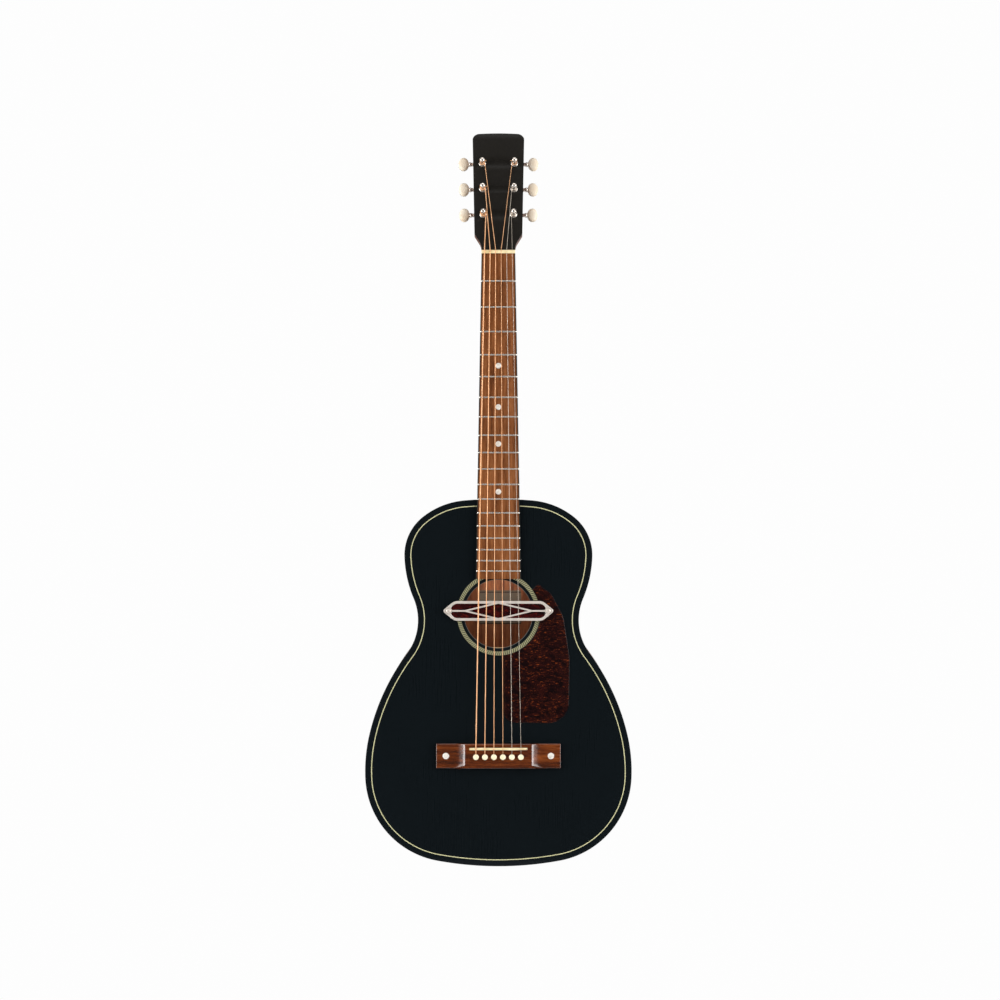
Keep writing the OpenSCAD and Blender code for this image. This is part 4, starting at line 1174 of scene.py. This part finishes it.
def pickup():
    ends = [out_of(s * SCREW_X, 0, PICKUP_Z) for s in (-1, 1)]
    gap = [(3.1, 3.6), (4.0, 3.6), (4.0, 6), (3.1, 6)]
    gaps = join(*[moved(ring_lathe(gap, 64), end) for end in ends])
    lattice = plate(raised([tapered_loop()] + pickup_windows()), FRAME_FRONT, PANEL_FRONT, 0.5, 3)
    piece("pickup_lattice", lattice, FRAME_NICKEL, replaces=["pickup_frame"], smooth=50,
          cutters=gaps)
    screw_holes = [circle(s * SCREW_X, 0, 1.6, 24) for s in (-1, 1)]
    panel = plate(raised([tapered_loop(-0.4)] + screw_holes), PANEL_FRONT, PANEL_BACK, 0.2)
    piece("pickup_panel", panel, PANEL, replaces=["pickup_body"])
    shell = moved(rounded_box((72, 20, 15.6), 2.0), out_of(0, 6.2, PICKUP_Z))
    hollow = moved(rounded_box((68, 16, 13.6), 1.5), out_of(0, 5.8, PICKUP_Z))
    lead_hole = moved(rod(1.75, -5, 5, 24), at(35, 9, PICKUP_Z) @ turn(90, "Y"))
    piece("pickup_shell", shell, HOUSING, cutters=join(hollow, lead_hole))
    spacers = [plate(raised([circle(s * SCREW_X, 0, 4.0, 40), circle(s * SCREW_X, 0, 1.6, 24)]), PANEL_BACK,
                     0 if s < 0 else -GUARD_T, 0.1, 1) for s in (-1, 1)]
    piece("pickup_spacers", join(*spacers), HOUSING)
    profile = [(0, -9), (1.2, -9), (1.5, -8.6), (1.5, 4.7), (2.9, 4.8), (3.05, 5.0), (3.0, 5.35),
               (2.75, 5.75),
               (2.1, 6.1), (1.1, 6.2), (0, 6.2)]
    screws = join(*[moved(lathe(profile, 48), end) for end in ends])
    slots = [moved(rounded_box(size, 0.1, 2), end @ at(0, 0, 6.25) @ turn(angle, "Z"))
             for end, angle in zip(ends, (-35, 35)) for size in ((3.6, 0.8, 1.2), (0.8, 3.6, 1.2))]
    piece("pickup_end_screws", screws, FRAME_NICKEL, replaces=["pickup_screws"],
          cutters=join(*slots))
    clamps = [moved(rounded_box((9, 3, 12), 0.6), at(s * SCREW_X, TOP_T + 1.5, PICKUP_Z)) for s in (-1, 1)]
    piece("pickup_clamps", join(*clamps), STEEL)


def end_jack():
    """A flanged metal jack in the tail, with its bore open to the outside."""
    profile = [(3.2, 0.75), (3.6, 1.0), (8.6, 1.0), (9.5, 0.75), (10, 0.35), (10, 0.0), (6, 0.0), (6, -33),
               (5.4, -33.6), (1.5, -33.6), (1.5, -30), (3.2, -30)]
    barrel = moved(ring_lathe(profile, 64), at(0, JACK_Y, TAIL_Z) @ turn(180, "X"))
    hexagon = [(9 * math.cos(math.radians(a)), 9 * math.sin(math.radians(a))) for a in range(0, 360, 60)]
    nut_z = TAIL_Z + SIDE_T + 18
    ring = moved(plate([hexagon, circle(0, 0, 6.02, 40)], -1.5, 1.5, 0.3), out_of(0, JACK_Y, nut_z + 1.5))
    piece("output_jack", join(barrel, ring), NICKEL, replaces=["end_jack"])


# ---- Tuners ----

def plate_outline():
    """A tuner's base: a rounded rectangle with a round tab for the screw at each end."""
    tab, half, low, high, corner = 3.2, 6.6, -6.0, WORM_Z + 3.6, 1.2
    bottom, top = PLATE_SCREWS
    right = [*arc(0, bottom, tab, -90, 0, 8), *arc(tab + 1, low - 1, 1.0, 180, 90, 4),
             *arc(half - corner, low + corner, corner, -90, 0, 5),
             *arc(half - corner, high - corner, corner, 0, 90, 5),
             *arc(tab + 1, high + 1, 1.0, 270, 180, 4), *arc(0, top, tab, 0, 90, 8)]
    return right + [(-x, z) for x, z in reversed(right[1:-1])]


def tuner_plates():
    made = []
    for k in STRINGS:
        holes = [circle(0, 0, POST_R + 0.05, 40)] + [circle(0, z, 1.25, 20) for z in PLATE_SCREWS]
        base = plate([plate_outline()] + holes, 0, PLATE_T, 0.2)
        lug = [(-3.2, -0.2), (3.2, -0.2)] + arc(0, GEAR_Y - 0.6, 3.2, 0, 180, 20)
        ears = []
        for x in (-LUG_X - LUG_T / 2, LUG_X + LUG_T / 2):
            ear = plate([lug, circle(0, GEAR_Y - 0.6, CORE_R + 0.05, 32)], -LUG_T / 2, LUG_T / 2, 0.15)
            ears.append(moved(ear,
                              at(x, 0.6, WORM_Z) @ turn(90, "Z") @ turn(90, "X") @ turn(180, "Z") @ turn(180,
                                                                                                         "X")))
        made.append(moved(join(base, *ears), tuner(k)))
    piece("tuner_bases", join(*made), NICKEL, replaces=["tuner_plates"])


def tuner_screws():
    profile = [(0, -7.5), (0.5, -7.2), (1.15, -6), (1.15, 1.2), (2.3, 1.25), (2.3, 1.6), (1.9, 2.1),
               (1.1, 2.36),
               (0, 2.4)]
    made, slots = [], []
    for k in STRINGS:
        for z in PLATE_SCREWS:
            place = tuner(k) @ at(0, 0, z) @ turn(-90, "X")
            made.append(moved(lathe(profile, 28), place))
            slot_shape = rounded_box((5.2, 0.55, 1.3), 0.1, 2)
            slots.append(moved(slot_shape, place @ at(0, 0, 2.45) @ turn(20 * k, "Z")))
    piece("base_screws", join(*made), NICKEL, replaces=["tuner_screws"],
          cutters=join(*slots))


def bushings():
    bore, rim = POST_R + 0.06, FACE_H + BUSHING_T
    profile = [(bore, 11), (bore, rim - 0.25), (POST_R + 0.3, rim), (3.9, rim), (4.35, rim - 0.3),
               (4.5, FACE_H + 0.3),
               (4.5, FACE_H), (BUSHING_R, FACE_H), (BUSHING_R, 11)]
    made = [along_y(ring_lathe(profile, 48), tuner(k)) for k in STRINGS]
    piece("bushing_set", join(*made), NICKEL, replaces=["post_bushings"])


def post(k):
    """A post that runs in its bushing, waisted where the string winds, with a domed tip."""
    waist = POST_R - 0.4
    behind, seat = -GEAR_Y - GEAR_T / 2, -GEAR_Y + GEAR_T / 2
    profile = [(0, behind - 1.3), (1.5, behind - 1.2), (2.3, behind - 0.8), (2.3, behind),
               (GEAR_BORE, behind),
               (GEAR_BORE, seat), (POST_R, seat), (POST_R, FACE_H + BUSHING_T + 0.4),
               (POST_R - 0.15, COIL_H - 1.1), (waist, COIL_H - 0.4), (waist, POST_TOP - 3.6),
               (POST_R - 0.1, POST_TOP - 2.9), (POST_R, POST_TOP - 2.5), (POST_R, POST_TOP - 1.6),
               (POST_R - 0.25, POST_TOP - 0.95), (POST_R - 0.8, POST_TOP - 0.42),
               (POST_R - 1.6, POST_TOP - 0.1),
               (0, POST_TOP)]
    hole = moved(rod(0.85, -6, 6, 24), tuner(k) @ at(0, STRING_HOLE_Y, 0) @ turn(90, "Y"))
    slot = moved(rounded_box((6, 1.0, 0.7), 0.08, 2),
                 tuner(k) @ at(0, GEAR_Y + GEAR_T / 2 + 1.25, 0) @ turn(90, "X") @ turn(15 * k, "Z"))
    piece(f"post_turned_{k}", along_y(lathe(profile, 56), tuner(k)), NICKEL, body=f"tuner_post_{k}",
          replaces=[f"post_{k}"], cutters=join(hole, slot))


def gear(k):
    """A toothed wheel, with a gap between teeth facing the worm."""
    root, tip = GEAR_R - TOOTH_H - 0.15, GEAR_R + TOOTH_H
    loop = []
    for i in range(TEETH):
        for r, offset in ((root, -9), (tip, -1.8), (tip, 1.8), (root, 9)):
            a = math.radians((i + 0.5) * 360 / TEETH + offset)
            loop.append((r * math.sin(a), r * math.cos(a)))
    wheel = plate([loop, circle(0, 0, GEAR_BORE, 32)], GEAR_Y - GEAR_T / 2, GEAR_Y + GEAR_T / 2, 0.08, 1)
    piece(f"gear_toothed_{k}", moved(wheel, tuner(k)), BRASS, body=f"tuner_post_{k}", replaces=[f"gear_{k}"],
          smooth=25)


def worm_shaft(k):
    """The button's shaft with its worm, journals, stem and the collar against the button."""
    side = side_of(k)
    core, crest = CORE_R - 0.2, WORM_R + TOOTH_H
    thread_section = ((-0.6, core), (-0.16, crest - 0.04), (0, crest), (0.16, crest - 0.04), (0.6, core))
    turns, per_turn = 3.5, 36
    rings = []
    for s in range(int(turns * per_turn) + 1):
        done = s / per_turn - turns / 2
        angle = 2 * math.pi * done - math.pi / 2
        rings.append([(done * WORM_PITCH + w, r * math.cos(angle), r * math.sin(angle)) for w,
                      r in thread_section])
    thread = loft(rings)
    stem = LUG_X + LUG_T + 0.3
    edge = BUTTON_X - BUTTON_SIZE[0] / 2
    profile = [(0, -stem - 0.8), (CORE_R - 0.3, -stem - 0.8), (CORE_R, -stem - 0.5), (CORE_R, stem),
               (2.0, stem),
               (2.3, stem + 0.25), (2.3, edge - 3.0), (2.5, edge - 2.6), (2.95, edge - 1.9),
               (3.0, edge - 1.2),
               (2.8, edge - 0.4), (2.2, edge + 0.4), (CORE_R, edge + 0.8), (CORE_R, BUTTON_X - 1),
               (0, BUTTON_X - 1)]
    shaft = moved(lathe(profile, 40), turn(90 * side, "Y"))
    place = tuner(k) @ at(0, GEAR_Y, WORM_Z)
    piece(f"worm_turned_{k}", moved(join(thread, shaft), place), NICKEL, body=f"tuner_button_{k}",
          replaces=[f"worm_shaft_{k}"], smooth=40)


def button(k):
    """An oval button with two softly domed faces and a full rim."""
    half_x, half_y, half_z = (s / 2 for s in BUTTON_SIZE)
    rings = []
    for s in range(25):
        t = -math.cos(math.pi * s / 24)
        scale = max((1 - abs(t) ** 2.7) ** (1 / 2.3), 0.01)
        rings.append([(half_x * scale * math.cos(a), half_y * t, half_z * scale * math.sin(a))
                      for a in (2 * math.pi * j / 64 for j in range(64))])
    side = side_of(k)
    bore = moved(rod(CORE_R, -1, 12), turn(-90 * side, "Y"))
    place = tuner(k) @ at(side * BUTTON_X, GEAR_Y, WORM_Z)
    piece(f"button_oval_{k}", moved(loft(rings), place), BUTTON_PLASTIC, body=f"tuner_button_{k}",
          replaces=[f"knob_{k}"], smooth=60, cutters=moved(bore, place))


# ---- Carried-over CAD nodes: each gets its own finish ----

KEPT = {
    "linings": SPRUCE, "neck_block": BLOCK_WOOD, "end_block": BLOCK_WOOD, "top_braces": SPRUCE,
    "back_braces": SPRUCE, "label": PAPER, "truss_rod": STEEL, "truss_nut": BRASS, "bridge_bolts": STEEL,
    "pickup_coil": COPPER, "pickup_lead": RUBBER,
}


def finish_cad_nodes():
    for name, material in KEPT.items():
        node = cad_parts[name]
        node.data.materials.clear()
        node.data.materials.append(material)


# ---- Stage, light and camera ----

def area_light(name, place, target, size, power):
    light = bpy.data.lights.new(name, "AREA")
    light.shape = "RECTANGLE"
    light.size, light.size_y = size
    light.energy = power
    made = bpy.data.objects.new(name, light)
    made.location = place
    made.rotation_euler = (Vector(target) - Vector(place)).to_track_quat("-Z", "Y").to_euler()
    bpy.context.scene.collection.objects.link(made)


def stage():
    centre = Vector((0, 0, (TAIL_Z + 160) / 2 * MM))
    area_light("key_left", (-1.75, -1.6, 0.3), centre, (1.0, 2.2), 32)
    area_light("key_right", (1.75, -1.6, 0.3), centre, (1.0, 2.2), 32)
    area_light("side_left", (-2.1, -0.75, -0.4), centre, (0.7, 1.5), 30)
    area_light("side_right", (2.1, -0.75, -0.4), centre, (0.7, 1.5), 30)
    area_light("overhead", (0, -0.9, 1.9), centre, (1.8, 1.0), 14)
    area_light("rear_left", (-1.5, 1.7, 0.5), centre, (1.2, 2.0), 22)
    area_light("rear_right", (1.5, 1.7, 0.3), centre, (1.2, 2.0), 22)
    hole = Vector((0, 0, HOLE_Z)) * MM
    area_light("inside", hole + Vector((0, 0.018, 0.078)), hole + Vector((0, 0.10, -0.07)), (0.06, 0.02),
               0.19)

    world = bpy.data.worlds.new("studio")
    bpy.context.scene.world = world
    world.use_nodes = True
    nodes, links = world.node_tree.nodes, world.node_tree.links
    ambient = nodes["Background"]
    ambient.inputs["Color"].default_value = (0.9, 0.95, 1.0, 1)
    ambient.inputs["Strength"].default_value = 0.07
    seen = nodes.new("ShaderNodeBackground")
    seen.inputs["Color"].default_value = (0.985, 0.985, 0.985, 1)
    path = nodes.new("ShaderNodeLightPath")
    both = nodes.new("ShaderNodeMixShader")
    links.new(path.outputs["Is Camera Ray"], both.inputs[0])
    links.new(ambient.outputs[0], both.inputs[1])
    links.new(seen.outputs[0], both.inputs[2])
    links.new(both.outputs[0], nodes["World Output"].inputs["Surface"])

    floor_mesh = bpy.data.meshes.new("floor")
    disc = bmesh.new()
    bmesh.ops.create_circle(disc, cap_ends=True, radius=1.15, segments=128)
    disc.to_mesh(floor_mesh)
    disc.free()
    floor = bpy.data.objects.new("floor", floor_mesh)
    floor.location = (0, 0, -1.3)
    bpy.context.scene.collection.objects.link(floor)
    pale = Build("pale_floor", Specular_IOR_Level=0.1)
    speck = pale.noise(pale.place, 30.0, 3, 0.5)
    pale.colour(pale.mix(speck, (0.90, 0.90, 0.90, 1), (0.94, 0.94, 0.94, 1)))
    pale.rough(speck, 0.7, 0.8)
    floor_mesh.materials.append(pale.material)


def camera():
    """Straight at the soundboard from 3 m, with the whole guitar upright in a square picture."""
    distance, width_seen, sensor = 3.0, 1.2433, 36.0
    cam = bpy.data.cameras.new("camera")
    cam.sensor_width = sensor
    cam.lens = sensor * distance / width_seen
    made = bpy.data.objects.new("camera", cam)
    made.location = (0.002, -distance, -0.306)
    made.rotation_euler = (math.radians(90), 0, 0)
    bpy.context.scene.collection.objects.link(made)
    bpy.context.scene.camera = made


camera()
stage()
soundboard()
back_plate()
side("side_bent_bass", "side_bass", -1)
side("side_bent_treble", "side_treble", 1)
pickguard()
neck()
headstock_face()
fretboard()
dots()
frets()
nut()
bridge()
saddle()
pins()
strings()
pickup()
end_jack()
tuner_plates()
tuner_screws()
bushings()
for number in STRINGS:
    post(number)
    gear(number)
    worm_shaft(number)
    button(number)
finish_cad_nodes()
bpy.context.scene.view_settings.view_transform = "Standard"
